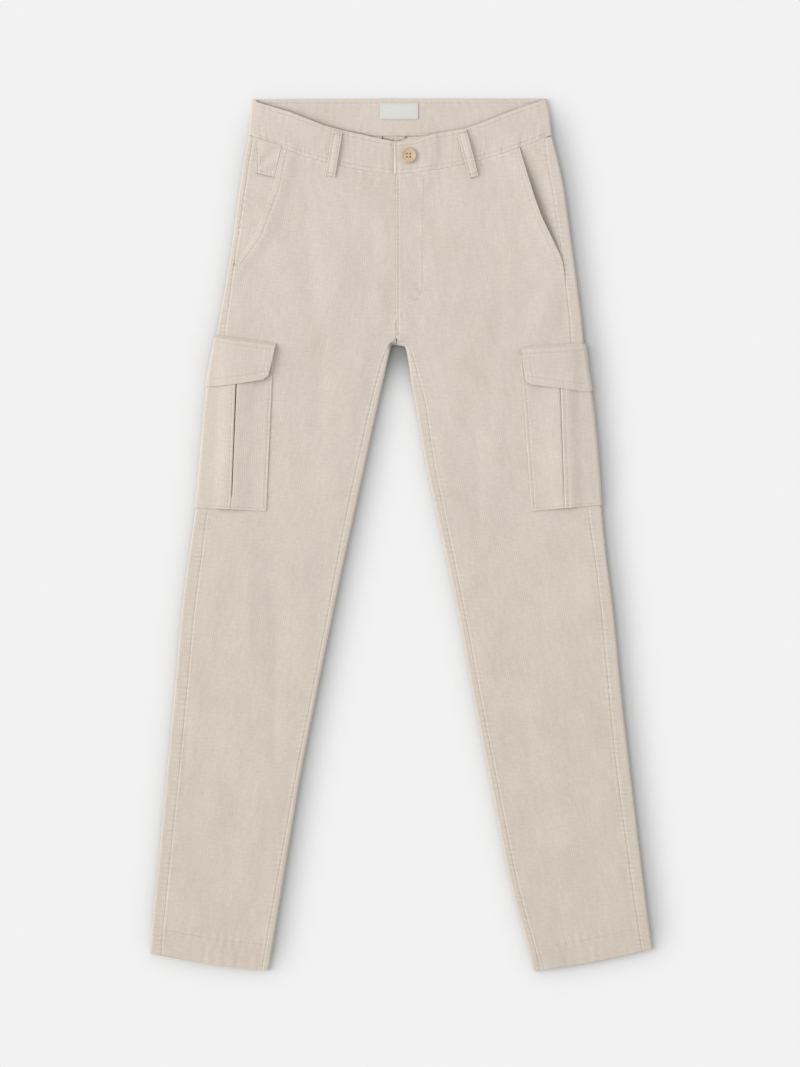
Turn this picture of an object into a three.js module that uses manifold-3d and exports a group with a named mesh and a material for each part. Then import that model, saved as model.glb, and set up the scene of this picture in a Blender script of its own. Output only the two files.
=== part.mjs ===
// Men's slim cargo trousers in fine-wale corduroy, laid flat on their back with the legs a little apart.
// Millimetres. +Z is up from the surface, +Y runs to the waist and +X to the wearer's left side.
// The origin is on the surface, under the middle of the outline.
// Plan places are written as out and down: out is the distance from the middle plane towards the
// piece's own side, and down is the distance below the back waist edge.

import * as THREE from "three";
import { mergeVertices } from "three/addons/utils/BufferGeometryUtils.js";
import Module from "manifold-3d";

// Driving sizes
const backWaistY = 530.73;
const clothWall = 1.6;
const hemWall = 2.2;
const bandWall = 2.2;
const pocketWall = 1.2;
const seamGap = 0.3;
const layGap = 0.3;
const rollHeight = 5.6;
const rollRadius = rollHeight / 2;
const crownHeight = 0.5;
const crownWidth = 30;
const lapClearance = 0.5;
const centreBackBandOut = { right: 10.5, left: -10.5 };

const clothLook = { color: 0xd6ccc0, roughness: 0.95 };
const labelLook = { color: 0xdededa, roughness: 0.8 };
const buttonLook = { color: 0xd8c1a0, roughness: 0.45 };

const signOf = { right: -1, left: 1 };

// Sections of the hips, from the waistband seam to the crotch. Each row gives the outer edge of the
// outline, how far inside it the side seam lies, where the row meets the centre front and the centre
// back, how much it bows down in between, and how far the right front runs on under the left one.
const hipSections = {
  right: [
    { edge: 185, down: 46.5, seam: 5.5, frontDown: 93.5, backDown: 46.5, bow: 8, lap: 12 },
    { edge: 191, down: 76.5, seam: 6.5, frontDown: 116.5, backDown: 78, bow: 6.5, lap: 12 },
    { edge: 197, down: 116.5, seam: 6.5, frontDown: 147, backDown: 116.5, bow: 5, lap: 12 },
    { edge: 204, down: 167.5, seam: 6.5, frontDown: 186, backDown: 167.5, bow: 3.5, lap: 12 },
    { edge: 209.5, down: 204, seam: 6.5, frontDown: 215, backDown: 204, bow: 2, lap: 12 },
    { edge: 216.5, down: 245.5, seam: 8, frontDown: 249, backDown: 245.5, bow: 1, lap: 10 },
    { edge: 222, down: 274.5, seam: 9.5, frontDown: 273.5, backDown: 277, bow: 0, lap: 0 },
    { edge: 226, down: 299, seam: 11.5, frontDown: 293.5, backDown: 297.5, bow: 0, lap: 0 },
  ],
  left: [
    { edge: 183, down: 47, seam: 9, frontDown: 93.5, backDown: 46.5, bow: 8, lap: 0 },
    { edge: 190.5, down: 76.5, seam: 13, frontDown: 116.5, backDown: 78, bow: 6.5, lap: 0 },
    { edge: 198.5, down: 116.5, seam: 14, frontDown: 147, backDown: 116.5, bow: 5, lap: 0 },
    { edge: 205.5, down: 167.5, seam: 13.5, frontDown: 186, backDown: 167.5, bow: 3.5, lap: 0 },
    { edge: 210.5, down: 204, seam: 13.5, frontDown: 215, backDown: 204, bow: 2, lap: 0 },
    { edge: 216, down: 245.5, seam: 14, frontDown: 249, backDown: 245.5, bow: 1, lap: 0 },
    { edge: 219.5, down: 274.5, seam: 14.5, frontDown: 273.5, backDown: 277, bow: 0, lap: 0 },
    { edge: 221.5, down: 299, seam: 15, frontDown: 293.5, backDown: 297.5, bow: 0, lap: 0 },
  ],
};

// Sections of the legs, from the crotch to the hem. Each row gives the outer edge and the inner edge
// of the outline, and how far inside them the side seam and the inseam lie.
const legSections = {
  right: [
    { edge: 226, down: 299, seam: 11.5, inner: 6, innerDown: 300.5, strip: 7, bow: 0 },
    { edge: 226.5, down: 302, seam: 11.5, inner: 8.5, innerDown: 300.5, strip: 5, bow: 0 },
    { edge: 227, down: 305.5, seam: 12, inner: 11, innerDown: 301, strip: 4, bow: 0 },
    { edge: 228, down: 310, seam: 12, inner: 12.5, innerDown: 304, strip: 4, bow: 0 },
    { edge: 229.5, down: 316, seam: 12, inner: 14, innerDown: 309, strip: 4.5, bow: 0 },
    { edge: 232, down: 329.5, seam: 12.5, inner: 17, innerDown: 322, strip: 6, bow: 0 },
    { edge: 235.5, down: 351, seam: 13.5, inner: 22, innerDown: 345, strip: 7.5, bow: 0 },
    { edge: 238.5, down: 379, seam: 14, inner: 28.5, innerDown: 374, strip: 8.5, bow: 0 },
    { edge: 243.5, down: 434, seam: 14.5, inner: 41.5, innerDown: 434, strip: 9, bow: 0 },
    { edge: 249.5, down: 497, seam: 14.5, inner: 56.5, innerDown: 504, strip: 9, bow: 0 },
    { edge: 258.5, down: 561.5, seam: 15.5, inner: 71.5, innerDown: 572.5, strip: 7.5, bow: 0 },
    { edge: 267, down: 628, seam: 15.5, inner: 86, innerDown: 642.5, strip: 6, bow: 0 },
    { edge: 275.5, down: 725.5, seam: 15, inner: 106, innerDown: 741, strip: 5.5, bow: 0 },
    { edge: 283.5, down: 809, seam: 15, inner: 122.5, innerDown: 826, strip: 5.5, bow: 0.5 },
    { edge: 294.5, down: 926, seam: 14, inner: 142, innerDown: 944, strip: 7, bow: 1.5 },
    { edge: 302.7, down: 1007, seam: 14, inner: 156, innerDown: 1029, strip: 8, bow: 2.5 },
    { edge: 305, down: 1039, seam: 14, inner: 161, innerDown: 1059.5, strip: 8, bow: 2.7 },
  ],
  left: [
    { edge: 221.5, down: 299, seam: 15, inner: -6, innerDown: 300.5, strip: 7, bow: 0 },
    { edge: 222, down: 302, seam: 15, inner: -3, innerDown: 301, strip: 5, bow: 0 },
    { edge: 222.5, down: 305.5, seam: 15.5, inner: 0.5, innerDown: 301.5, strip: 4, bow: 0 },
    { edge: 223, down: 310, seam: 15.5, inner: 4, innerDown: 302.5, strip: 4, bow: 0 },
    { edge: 224, down: 316, seam: 15.5, inner: 6, innerDown: 307, strip: 5, bow: 0 },
    { edge: 225.5, down: 329.5, seam: 16, inner: 9, innerDown: 323, strip: 7.5, bow: 0 },
    { edge: 229, down: 351, seam: 16, inner: 12.5, innerDown: 347.5, strip: 10.5, bow: 0 },
    { edge: 233, down: 379, seam: 16.5, inner: 18, innerDown: 376.5, strip: 12, bow: 0 },
    { edge: 238.5, down: 434, seam: 16.5, inner: 28, innerDown: 435, strip: 10.5, bow: 0 },
    { edge: 243, down: 497, seam: 16.5, inner: 42.5, innerDown: 504, strip: 9.5, bow: 0 },
    { edge: 249.5, down: 561.5, seam: 14, inner: 57.5, innerDown: 572.5, strip: 9, bow: 0 },
    { edge: 258, down: 628, seam: 14.5, inner: 72, innerDown: 642.5, strip: 8.5, bow: 0 },
    { edge: 267.5, down: 725.5, seam: 15, inner: 90.5, innerDown: 742.5, strip: 8.5, bow: 0 },
    { edge: 277, down: 809, seam: 16, inner: 107.5, innerDown: 828.5, strip: 8.5, bow: 0.3 },
    { edge: 291, down: 926, seam: 14.5, inner: 131.5, innerDown: 949, strip: 8.5, bow: 1 },
    { edge: 301, down: 1006, seam: 13, inner: 154.5, innerDown: 1033.5, strip: 8, bow: 1.5 },
    { edge: 305, down: 1033.5, seam: 13, inner: 160.5, innerDown: 1060.5, strip: 8, bow: 1.7 },
  ],
};
const hipCentre = { right: legSections.right[0].inner, left: legSections.left[0].inner };
const hemFoldRow = 15;
const hemStep = 0.06;

// Rows of cloth that the panels are woven through, as row numbers of the two tables above.
const hipRows = [0, 0.5, 1, 1.5, 2, 2.5, 3, 3.5, 4, 5, 6];
const legRows = [0, 1, 2, 3, 4, 5, 6, 7, 7.5, 8, 8.5, 9, 9.5, 10, 10.5, 11, 11.5, 12, 12.5, 13, 13.5,
  14, 14.5, hemFoldRow - hemStep, hemFoldRow, 16];
const frontColumns = 12;
const bottomColumns = 3;
const stripColumns = 2;
const rollSteps = 5;

// Searches along the tables: how often a span is halved, and how small a step along the rows is.
const halvings = 30;
const rowStep = 0.01;
const tangentStep = 0.05;

// The largest creases: soft ridges, and troughs where the height is below nought, from one plan place
// to another.
const creases = [
  { x1: -116, down1: 118, x2: -107, down2: 245, width: 11, height: -0.8 },
  { x1: -68, down1: 160, x2: -87, down2: 282, width: 17, height: 0.5 },
  { x1: -38, down1: 282, x2: -60, down2: 403, width: 15, height: 0.5 },
  { x1: -96, down1: 294, x2: -101, down2: 452, width: 11, height: -0.7 },
  { x1: -140, down1: 330, x2: -135, down2: 476, width: 15, height: 0.5 },
  { x1: -155, down1: 561, x2: -152, down2: 804, width: 11, height: -0.7 },
  { x1: -187, down1: 549, x2: -184, down2: 683, width: 12, height: 0.5 },
  { x1: -260, down1: 719, x2: -265, down2: 841, width: 10, height: -0.6 },
  { x1: -226, down1: 816, x2: -226, down2: 926, width: 15, height: 0.4 },
  { x1: -157, down1: 841, x2: -169, down2: 974, width: 11, height: -0.5 },
  { x1: -257, down1: 950, x2: -245, down2: 1011, width: 15, height: 0.4 },
  { x1: -80, down1: 112, x2: -32, down2: 179, width: 10, height: -0.5 },
  { x1: 63, down1: 191, x2: 54, down2: 270, width: 11, height: -0.5 },
  { x1: 118, down1: 166, x2: 120, down2: 294, width: 11, height: -0.5 },
  { x1: 175, down1: 207, x2: 144, down2: 282, width: 10, height: -0.6 },
  { x1: 120, down1: 330, x2: 116, down2: 464, width: 15, height: 0.5 },
  { x1: 84, down1: 367, x2: 98, down2: 537, width: 11, height: -0.5 },
  { x1: 120, down1: 750, x2: 121, down2: 798, width: 10, height: 0.7 },
  { x1: 122, down1: 816, x2: 126, down2: 859, width: 10, height: -0.6 },
  { x1: 156, down1: 659, x2: 193, down2: 853, width: 17, height: 0.4 },
  { x1: 241, down1: 610, x2: 272, down2: 877, width: 11, height: -0.4 },
  { x1: 229, down1: 950, x2: 241, down2: 1011, width: 17, height: 0.4 },
];

// Slant pocket mouths, from the waistband seam to the side seam and a little past it. The left one
// gapes, so its edge stands up from the hip facing, which runs further under it.
const slantEdges = {
  right: [
    { down: 61.5, out: 145.5 },
    { down: 112, out: 156.5 },
    { down: 136, out: 166 },
    { down: 167.5, out: 177.5 },
    { down: 204, out: 203 },
    { down: 250, out: 235 },
  ],
  left: [
    { down: 58.5, out: 142.5 },
    { down: 75.5, out: 147.5 },
    { down: 98.5, out: 154.5 },
    { down: 123, out: 162 },
    { down: 146, out: 170.5 },
    { down: 192.5, out: 193 },
    { down: 203, out: 196.5 },
    { down: 250, out: 212 },
  ],
};
const slantMouths = {
  right: { gape: 0, sink: 0, facingUnder: 12 },
  left: { gape: 3, sink: 0.6, facingUnder: 26 },
};
const slantTopDown = 58;
const slantFootDown = 204;
const facingLastRow = 3.9;
const facingTaperRow = 2.5;
const facingFootTaper = 0.8;
const facingColumns = 5;
const slantFade = 12;
const slantFootFade = 25;
const slantFootEase = 2;
const facingEase = 1;
const facingSinkRise = 3;
const slantSearchEnd = 0.6;

// The fly: the left front stands up over the right one from the centre front, down to the fly's foot.
const flyFootDown = 272;
const flyFootFade = 20;
const flyFade = 18;
const flyLapEase = 2;

// Waistband halves. Each row is one section across the front: where it is and where the top edge runs.
const bandSections = {
  right: [
    { out: -37.5, top: 46 },
    { out: -10.5, top: 48 },
    { out: 1.5, top: 53.5 },
    { out: 7.5, top: 53.5 },
    { out: 26, top: 50 },
    { out: 50, top: 44.5 },
    { out: 72, top: 40 },
    { out: 92.5, top: 34.5 },
    { out: 135, top: 18 },
    { out: 160, top: 10.5 },
    { out: 174, top: 6 },
  ],
  left: [
    { out: -7.5, top: 57 },
    { out: -5, top: 54.3 },
    { out: 7, top: 53 },
    { out: 23, top: 50 },
    { out: 41, top: 44 },
    { out: 55, top: 41.5 },
    { out: 66, top: 39.8 },
    { out: 78.5, top: 37.5 },
    { out: 100, top: 30 },
    { out: 120, top: 22 },
    { out: 145, top: 12.5 },
    { out: 168.5, top: 4.5 },
  ],
};
const bandEdges = {
  right: [
    { down: 2, out: 181.5 },
    { down: 46.5, out: 185 },
  ],
  left: [
    { down: 1, out: 175.5 },
    { down: 17, out: 179.5 },
    { down: 47, out: 183 },
  ],
};
const bandRows = [0, 0.3, 0.7, 1];
const bandBackTop = 1;
const bandBackFoot = 46.2;
const bandPuff = 0.3;
const bandLapLift = bandWall + 0.35;
const bandLapEnd = 40;
const bandLapFade = 30;
const bandSeamGap = 0.45;

// Cargo pockets. Plan places of the corners, the pleat's slit and the flap, from the front edge to the
// rolled outer edge of the leg.
const cargoPockets = {
  right: {
    front: { top: { out: 154.8, down: 309.5 }, foot: { out: 163.5, down: 502 } },
    slit: { top: { out: 200, down: 305 }, foot: { out: 207.4, down: 500 } },
    outerDown: { top: 300.5, foot: 497.5 },
    flapFront: [
      { down: 298.5, out: 151.5 },
      { down: 318, out: 155.5 },
      { down: 336.5, out: 160 },
      { down: 342.5, out: 163.5 },
    ],
    flapTop: { frontDown: 298.5, outerDown: 288.5 },
    flapFoot: [
      { out: 163.5, down: 342.5 },
      { out: 199.5, down: 348 },
      { out: 225, down: 351 },
      { out: 240, down: 351.5 },
    ],
  },
  left: {
    front: { top: { out: 144.5, down: 313 }, foot: { out: 158, down: 502 } },
    slit: { top: { out: 192.5, down: 309 }, foot: { out: 199.2, down: 499 } },
    outerDown: { top: 307.5, foot: 494.5 },
    flapFront: [
      { down: 303.5, out: 144.8 },
      { down: 325, out: 147.5 },
      { down: 344, out: 150.5 },
      { down: 348.5, out: 153.5 },
    ],
    flapTop: { frontDown: 303.5, outerDown: 298.5 },
    flapFoot: [
      { out: 153.5, down: 348.5 },
      { out: 194, down: 353.5 },
      { out: 219, down: 357 },
      { out: 235, down: 355 },
    ],
  },
};
const pocketLift = layGap + pocketWall / 2;
const plyStep = pocketWall + layGap;
const pleatDepth = 7;
const pleatTurn = plyStep / 2;
const pleatTurnSteps = 4;
const pleatApproach = 2;

// The pocket's outer part beyond its pleat: how far past the slit, and how high it still lies.
const pleatFall = [
  { past: pleatDepth + 2, lift: 2 * plyStep },
  { past: pleatDepth + 10, lift: 0.5 },
  { past: pleatDepth + 17, lift: 0 },
];
const pocketRows = 7;
const pocketRollEnd = -36;
const flapWall = 1.4;
const flapLift = layGap + flapWall / 2;
const flapOverPocket = pocketWall + layGap + flapLift;
const flapRows = [0, 0.17, 0.45, 0.75, 1];

// How the flap rises over the pleat: how far past the slit, and how much above the pocket.
const flapRise = [
  { past: -24, lift: 0 },
  { past: -9, lift: 0 },
  { past: -2.5, lift: 2 * plyStep },
  { past: pleatDepth + 3, lift: 2 * plyStep },
  { past: pleatDepth + 12, lift: 0.5 },
  { past: pleatDepth + 19, lift: 0 },
];
const flapRollEnd = -20;

// Small pieces
const beltLoop = { width: 12, wall: 2, seat: 0.5, arch: 0.9, rows: 8 };
const beltLoops = {
  right: { topOut: 77, topDown: 42, footOut: 86, footDown: 96 },
  left: { topOut: 73, topDown: 40, footOut: 88, footDown: 97 },
};
const button = { x: 9, down: 71, radius: 9.2, thickness: 3.2, rim: 1.6, dish: 0.7, hole: 1, holeSpread: 1.9 };
const buttonBandShare = 0.5;
const buttonSides = 32;
const holeSides = 10;
const mergeDistance = 1e-4;
const label = { left: -25.5, right: 20.5, top: 6.5, foot: 26.5, thickness: 0.8 };
const hangerTab = { left: -23.5, right: 6, top: 46.8, foot: 62, thickness: 1.2 };
const ticketPocket = {
  outer: 176.5, outerFoot: 92.5, innerFoot: 98, slantClearance: 0.8, rows: 3, columns: 4,
};

function smooth(value) {
  const t = Math.min(Math.max(value, 0), 1);
  return t * t * (3 - 2 * t);
}

function mix(from, to, share) {
  return from + (to - from) * share;
}

// A table's columns at a row number that may lie between rows, on a smooth curve through the rows.
function readRow(table, at) {
  const low = Math.min(Math.floor(at), table.length - 2);
  const t = at - low;
  const row = {};
  for (const key of Object.keys(table[0])) {
    const b = table[low][key];
    const c = table[low + 1][key];
    const a = low > 0 ? table[low - 1][key] : 2 * b - c;
    const d = low + 2 < table.length ? table[low + 2][key] : 2 * c - b;
    const bend = t * (2 * a - 5 * b + 4 * c - d + t * (3 * (b - c) + d - a));
    row[key] = b + 0.5 * t * (c - a + bend);
  }
  return row;
}

// One column of a table against another, in straight steps and carried on past its ends.
function readColumn(table, from, to, value) {
  let low = 0;
  while (low < table.length - 2 && table[low + 1][from] < value) {
    low += 1;
  }
  const a = table[low];
  const b = table[low + 1];
  return mix(a[to], b[to], (value - a[from]) / (b[from] - a[from]));
}

// A place on an edge of the outline with the direction that points away from the cloth.
function edgePlace(table, at, outKey, downKey, turn) {
  const here = readRow(table, at);
  const before = readRow(table, Math.max(at - tangentStep, 0));
  const after = readRow(table, Math.min(at + tangentStep, table.length - 1));
  const runOut = after[outKey] - before[outKey];
  const runDown = after[downKey] - before[downKey];
  const length = Math.hypot(runOut, runDown);
  return {
    out: here[outKey],
    down: here[downKey],
    normalOut: (turn * runDown) / length,
    normalDown: (-turn * runOut) / length,
  };
}

function outerPlace(table, at) {
  return edgePlace(table, at, "edge", "down", 1);
}

function innerPlace(side, at) {
  return edgePlace(legSections[side], at, "inner", "innerDown", -1);
}

// The plan place that lies a distance inside an edge.
function inside(place, distance) {
  return {
    out: place.out - place.normalOut * distance,
    down: place.down - place.normalDown * distance,
  };
}

function distanceToLine(line, point) {
  let nearest = Infinity;
  for (let i = 1; i < line.length; i += 1) {
    const a = line[i - 1];
    const b = line[i];
    const runOut = b.out - a.out;
    const runDown = b.down - a.down;
    const along = (point.out - a.out) * runOut + (point.down - a.down) * runDown;
    const share = Math.min(Math.max(along / (runOut * runOut + runDown * runDown), 0), 1);
    const out = point.out - a.out - runOut * share;
    const down = point.down - a.down - runDown * share;
    nearest = Math.min(nearest, Math.hypot(out, down));
  }
  return nearest;
}

const outerLines = {};
const innerLines = {};
for (const side of ["right", "left"]) {
  const outer = hipRows.map((at) => outerPlace(hipSections[side], at));
  outerLines[side] = outer.concat(legRows.map((at) => outerPlace(legSections[side], at)));
  innerLines[side] = legRows.map((at) => innerPlace(side, at));
}

function creaseHeight(x, down) {
  let height = 0;
  for (const crease of creases) {
    const line = [
      { out: crease.x1, down: crease.down1 },
      { out: crease.x2, down: crease.down2 },
    ];
    const distance = distanceToLine(line, { out: x, down });
    height += crease.height * Math.exp(-((distance / crease.width) ** 2));
  }
  return height;
}

// Height of the upper cloth's face above the surface, where nothing lies under it.
function clothTop(side, out, down) {
  const point = { out, down };
  const fromOuter = smooth((distanceToLine(outerLines[side], point) - rollRadius) / crownWidth);
  const fromInner = smooth((distanceToLine(innerLines[side], point) - rollRadius) / crownWidth);
  const crease = creaseHeight(signOf[side] * out, down);
  return rollHeight + (crownHeight + crease) * fromOuter * fromInner;
}

// The front panel's face: the cloth's height, raised over the hip facing and over the fly's underlap.
function frontTop(side, out, down) {
  const inward = readColumn(slantEdges[side], "down", "out", down) - out;
  const mouth = slantMouths[side];
  const overFacing = 1 - smooth((inward - mouth.facingUnder - facingEase) / slantFade);
  const aboveFoot = 1 - smooth((down - slantFootDown - slantFootEase) / slantFootFade);
  const facingLift = (clothWall + lapClearance) * overFacing * aboveFoot;
  const along = Math.min(Math.max((down - slantTopDown) / (slantFootDown - slantTopDown), 0), 1);
  const gapeLift = mouth.gape * Math.sin(Math.PI * along) * (1 - smooth(inward / mouth.facingUnder));
  let flyLift = 0;
  if (side === "left") {
    const fromFly = out - hipCentre.left;
    const nearFly = 1 - smooth((fromFly - hipSections.right[0].lap - flyLapEase) / flyFade);
    flyLift = (clothWall + lapClearance) * nearFly * (1 - smooth((down - flyFootDown) / flyFootFade));
  }
  return clothTop(side, out, down) + Math.max(facingLift, flyLift) + gapeLift;
}

// One node of a cloth wall, with its outer face and its inner face.
function node(side, face, back) {
  const place = (point) => [signOf[side] * point.out, backWaistY - point.down, point.z];
  return { face: place(face), back: place(back) };
}

function flatNode(side, point, faceZ, backZ) {
  return node(side, { ...point, z: faceZ }, { ...point, z: backZ });
}

// A node on the rolled edge of a leg. The angle is 90 on top and -90 underneath.
function rollNode(side, place, radius, lift, wall, degrees) {
  const angle = THREE.MathUtils.degToRad(degrees);
  const at = (reach) => ({
    ...inside(place, radius - reach * Math.cos(angle)),
    z: radius + reach * Math.sin(angle),
  });
  return node(side, at(radius + lift), at(radius + lift - wall));
}

// Joins grids of nodes into one closed wall: the outer face, the inner face turned round, and a rim
// along each edge that only one square uses.
function wallGeometry(grids) {
  const places = new Map();
  const nodes = [];
  const indexOf = (item) => {
    const key = item.face.map((v) => Math.round(v * 1000)).join(",");
    if (!places.has(key)) {
      places.set(key, nodes.length);
      nodes.push(item);
    }
    return places.get(key);
  };
  const squares = [];
  for (const grid of grids) {
    const numbers = grid.map((row) => row.map(indexOf));
    for (let i = 1; i < numbers.length; i += 1) {
      for (let j = 1; j < numbers[i].length; j += 1) {
        squares.push([numbers[i - 1][j - 1], numbers[i][j - 1], numbers[i][j], numbers[i - 1][j]]);
      }
    }
  }
  const edges = new Set();
  for (const square of squares) {
    square.forEach((from, k) => edges.add(from + "," + square[(k + 1) % 4]));
  }
  const count = nodes.length;
  const index = [];
  for (const [a, b, c, d] of squares) {
    index.push(a, b, c, a, c, d);
    index.push(a + count, c + count, b + count, a + count, d + count, c + count);
  }
  for (const edge of edges) {
    const [from, to] = edge.split(",").map(Number);
    if (!edges.has(to + "," + from)) {
      index.push(from, from + count, to + count, from, to + count, to);
    }
  }
  const positions = nodes.map((item) => item.face).concat(nodes.map((item) => item.back));
  if (volumeOf(positions, index) < 0) {
    for (let i = 0; i < index.length; i += 3) {
      [index[i + 1], index[i + 2]] = [index[i + 2], index[i + 1]];
    }
  }
  const geometry = new THREE.BufferGeometry();
  geometry.setAttribute("position", new THREE.Float32BufferAttribute(positions.flat(), 3));
  geometry.setIndex(index);
  return geometry;
}

function volumeOf(positions, index) {
  let volume = 0;
  for (let i = 0; i < index.length; i += 3) {
    const [a, b, c] = [0, 1, 2].map((k) => new THREE.Vector3(...positions[index[i + k]]));
    volume += a.dot(b.cross(c)) / 6;
  }
  return volume;
}

function wallAt(at) {
  return at >= hemFoldRow ? hemWall : clothWall;
}

// The plan places where a row of the front panel starts and ends, and how it bows in between.
function frontRowEnds(side, table, at) {
  const row = readRow(table, at);
  const outer = inside(outerPlace(table, at), row.seam + seamGap / 2);
  let inner;
  if (table === legSections[side]) {
    inner = inside(innerPlace(side, at), row.strip + seamGap / 2);
  } else {
    inner = { out: hipCentre[side] + seamGap / 2, down: row.frontDown };
  }
  const lapShare = row.lap > 0 ? row.lap / (outer.out - inner.out) : 0;
  return { outer, inner, bow: row.bow, lapShare };
}

function alongRow(ends, share) {
  return {
    out: mix(ends.outer.out, ends.inner.out, share),
    down: mix(ends.outer.down, ends.inner.down, share) + 4 * ends.bow * share * (1 - share),
  };
}

// The share of a hip row at which the slant pocket's edge crosses it.
function slantShare(side, ends) {
  const past = (share) => {
    const point = alongRow(ends, share);
    return readColumn(slantEdges[side], "down", "out", point.down) - point.out;
  };
  if (past(0) > 0) {
    return 0;
  }
  let low = 0;
  let high = slantSearchEnd;
  for (let i = 0; i < halvings; i += 1) {
    const middle = (low + high) / 2;
    if (past(middle) > 0) {
      high = middle;
    } else {
      low = middle;
    }
  }
  return high;
}

function frontRow(side, table, at) {
  const ends = frontRowEnds(side, table, at);
  const start = table === hipSections[side] ? slantShare(side, ends) : 0;
  const wall = table === legSections[side] ? wallAt(at) : clothWall;
  const row = [];
  for (let i = 0; i <= frontColumns; i += 1) {
    const point = alongRow(ends, mix(start, 1 + ends.lapShare, i / frontColumns));
    const top = frontTop(side, point.out, point.down);
    row.push(flatNode(side, point, top, top - wall));
  }
  return row;
}

function frontPanel(side) {
  const rows = hipRows.map((at) => frontRow(side, hipSections[side], at));
  return wallGeometry([rows.concat(legRows.map((at) => frontRow(side, legSections[side], at)))]);
}

// Strip of the back panel on top, between a rolled edge and its seam, from the roll to the seam.
function topStrip(side, place, width, wall) {
  const row = [];
  for (let i = 1; i <= stripColumns; i += 1) {
    const point = inside(place, mix(rollRadius, width - seamGap / 2, i / stripColumns));
    const top = clothTop(side, point.out, point.down);
    row.push(flatNode(side, point, top, top - wall));
  }
  return row;
}

// Rolled edge from underneath to the top, with both ends.
function rolledEdge(side, place, wall) {
  const row = [];
  for (let i = 0; i <= rollSteps; i += 1) {
    row.push(rollNode(side, place, rollRadius, 0, wall, mix(-90, 90, i / rollSteps)));
  }
  return row;
}

function backRow(side, table, at) {
  const section = readRow(table, at);
  const outer = outerPlace(table, at);
  const onLeg = table === legSections[side];
  const wall = onLeg ? wallAt(at) : clothWall;
  const start = onLeg
    ? inside(innerPlace(side, at), rollRadius)
    : { out: hipCentre[side] + seamGap / 2, down: section.backDown + bandSeamGap / 2 };
  const end = inside(outer, rollRadius);
  const bow = onLeg ? section.bow : 0;
  const row = [];
  for (let i = 0; i < bottomColumns; i += 1) {
    const point = alongRow({ outer: start, inner: end, bow }, i / bottomColumns);
    row.push(flatNode(side, point, 0, wall));
  }
  return row.concat(rolledEdge(side, outer, wall), topStrip(side, outer, section.seam, wall));
}

// The part of a leg's row that rolls up over the inner edge to the inseam, from the seam down to the
// lower layer. At the crotch its first row is the end of the centre back seam.
function inseamRow(side, at) {
  const section = readRow(legSections[side], at);
  const place = innerPlace(side, at);
  const wall = wallAt(at);
  const climb = rolledEdge(side, place, wall).concat(topStrip(side, place, section.strip, wall));
  return climb.reverse();
}

function backPanel(side) {
  const hips = hipRows.map((at) => backRow(side, hipSections[side], at));
  const legs = legRows.map((at) => backRow(side, legSections[side], at));
  return wallGeometry([hips.concat(legs), legRows.map((at) => inseamRow(side, at))]);
}

// Hip facing: from the side seam to a little way under the front panel's slant edge.
function hipFacing(side) {
  const mouth = slantMouths[side];
  const stations = hipRows.filter((at) => at < facingLastRow).concat(facingLastRow);
  const rows = stations.map((at) => {
    const ends = frontRowEnds(side, hipSections[side], at);
    const width = ends.outer.out - ends.inner.out;
    const taper = 1 - facingFootTaper * smooth((at - facingTaperRow) / (facingLastRow - facingTaperRow));
    const reach = slantShare(side, ends) + (mouth.facingUnder * taper) / width;
    const row = [];
    for (let i = 0; i <= facingColumns; i += 1) {
      const point = alongRow(ends, (reach * i) / facingColumns);
      const along = (point.down - slantTopDown) / (slantFootDown - slantTopDown);
      const inner = smooth((facingSinkRise * i) / facingColumns);
      const sink = mouth.sink * Math.sin(Math.PI * Math.min(Math.max(along, 0), 1)) * inner;
      const top = clothTop(side, point.out, point.down) - sink;
      row.push(flatNode(side, point, top, top - clothWall));
    }
    return row;
  });
  return wallGeometry([rows]);
}

// How far down the seam between the waistband and the front panel runs. Past the centre front it is
// the other side's seam.
function waistSeamDown(side, out) {
  if (out < hipCentre[side]) {
    return waistSeamDown(side === "right" ? "left" : "right", -out);
  }
  const ends = frontRowEnds(side, hipSections[side], 0);
  const share = (ends.outer.out - out) / (ends.outer.out - ends.inner.out);
  return alongRow(ends, Math.min(Math.max(share, 0), 1)).down;
}

// Height of the waistband's face at a share of its own height.
function bandTop(side, out, share) {
  let lapLift = 0;
  if (side === "left") {
    lapLift = bandLapLift * (1 - smooth((out - bandLapEnd) / bandLapFade));
  }
  return rollHeight + bandPuff * Math.sin(Math.PI * share) + lapLift;
}

// Height of the waistband or of the front panel below it, whichever is at this place.
function waistTop(side, out, down) {
  const seam = waistSeamDown(side, out);
  const top = readColumn(bandSections[side], "out", "top", out);
  if (down < seam) {
    return bandTop(side, out, (down - top) / (seam - top));
  }
  return frontTop(side, out, down);
}

// Waistband half: across the front, round the rolled side edge and along the back to the centre back.
function waistband(side) {
  const rows = bandRows.map((share) => {
    const row = bandSections[side].map((section) => {
      const foot = waistSeamDown(side, section.out) - bandSeamGap;
      const point = { out: section.out, down: mix(section.top, foot, share) };
      const top = bandTop(side, section.out, share);
      return flatNode(side, point, top, top - bandWall);
    });
    const edgeTop = bandEdges[side][0].down;
    const down = mix(edgeTop, bandBackFoot, share);
    const edge = { out: readColumn(bandEdges[side], "down", "out", down), down, normalOut: 1, normalDown: 0 };
    row.push(...rolledEdge(side, edge, bandWall).reverse());
    const start = edge.out - rollRadius;
    for (let i = 1; i <= bottomColumns; i += 1) {
      const out = mix(start, centreBackBandOut[side] + seamGap / 2, i / bottomColumns);
      const point = { out, down: mix(mix(edgeTop, bandBackTop, i / bottomColumns), bandBackFoot, share) };
      row.push(flatNode(side, point, 0, bandWall));
    }
    return row;
  });
  return wallGeometry([rows]);
}

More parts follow.
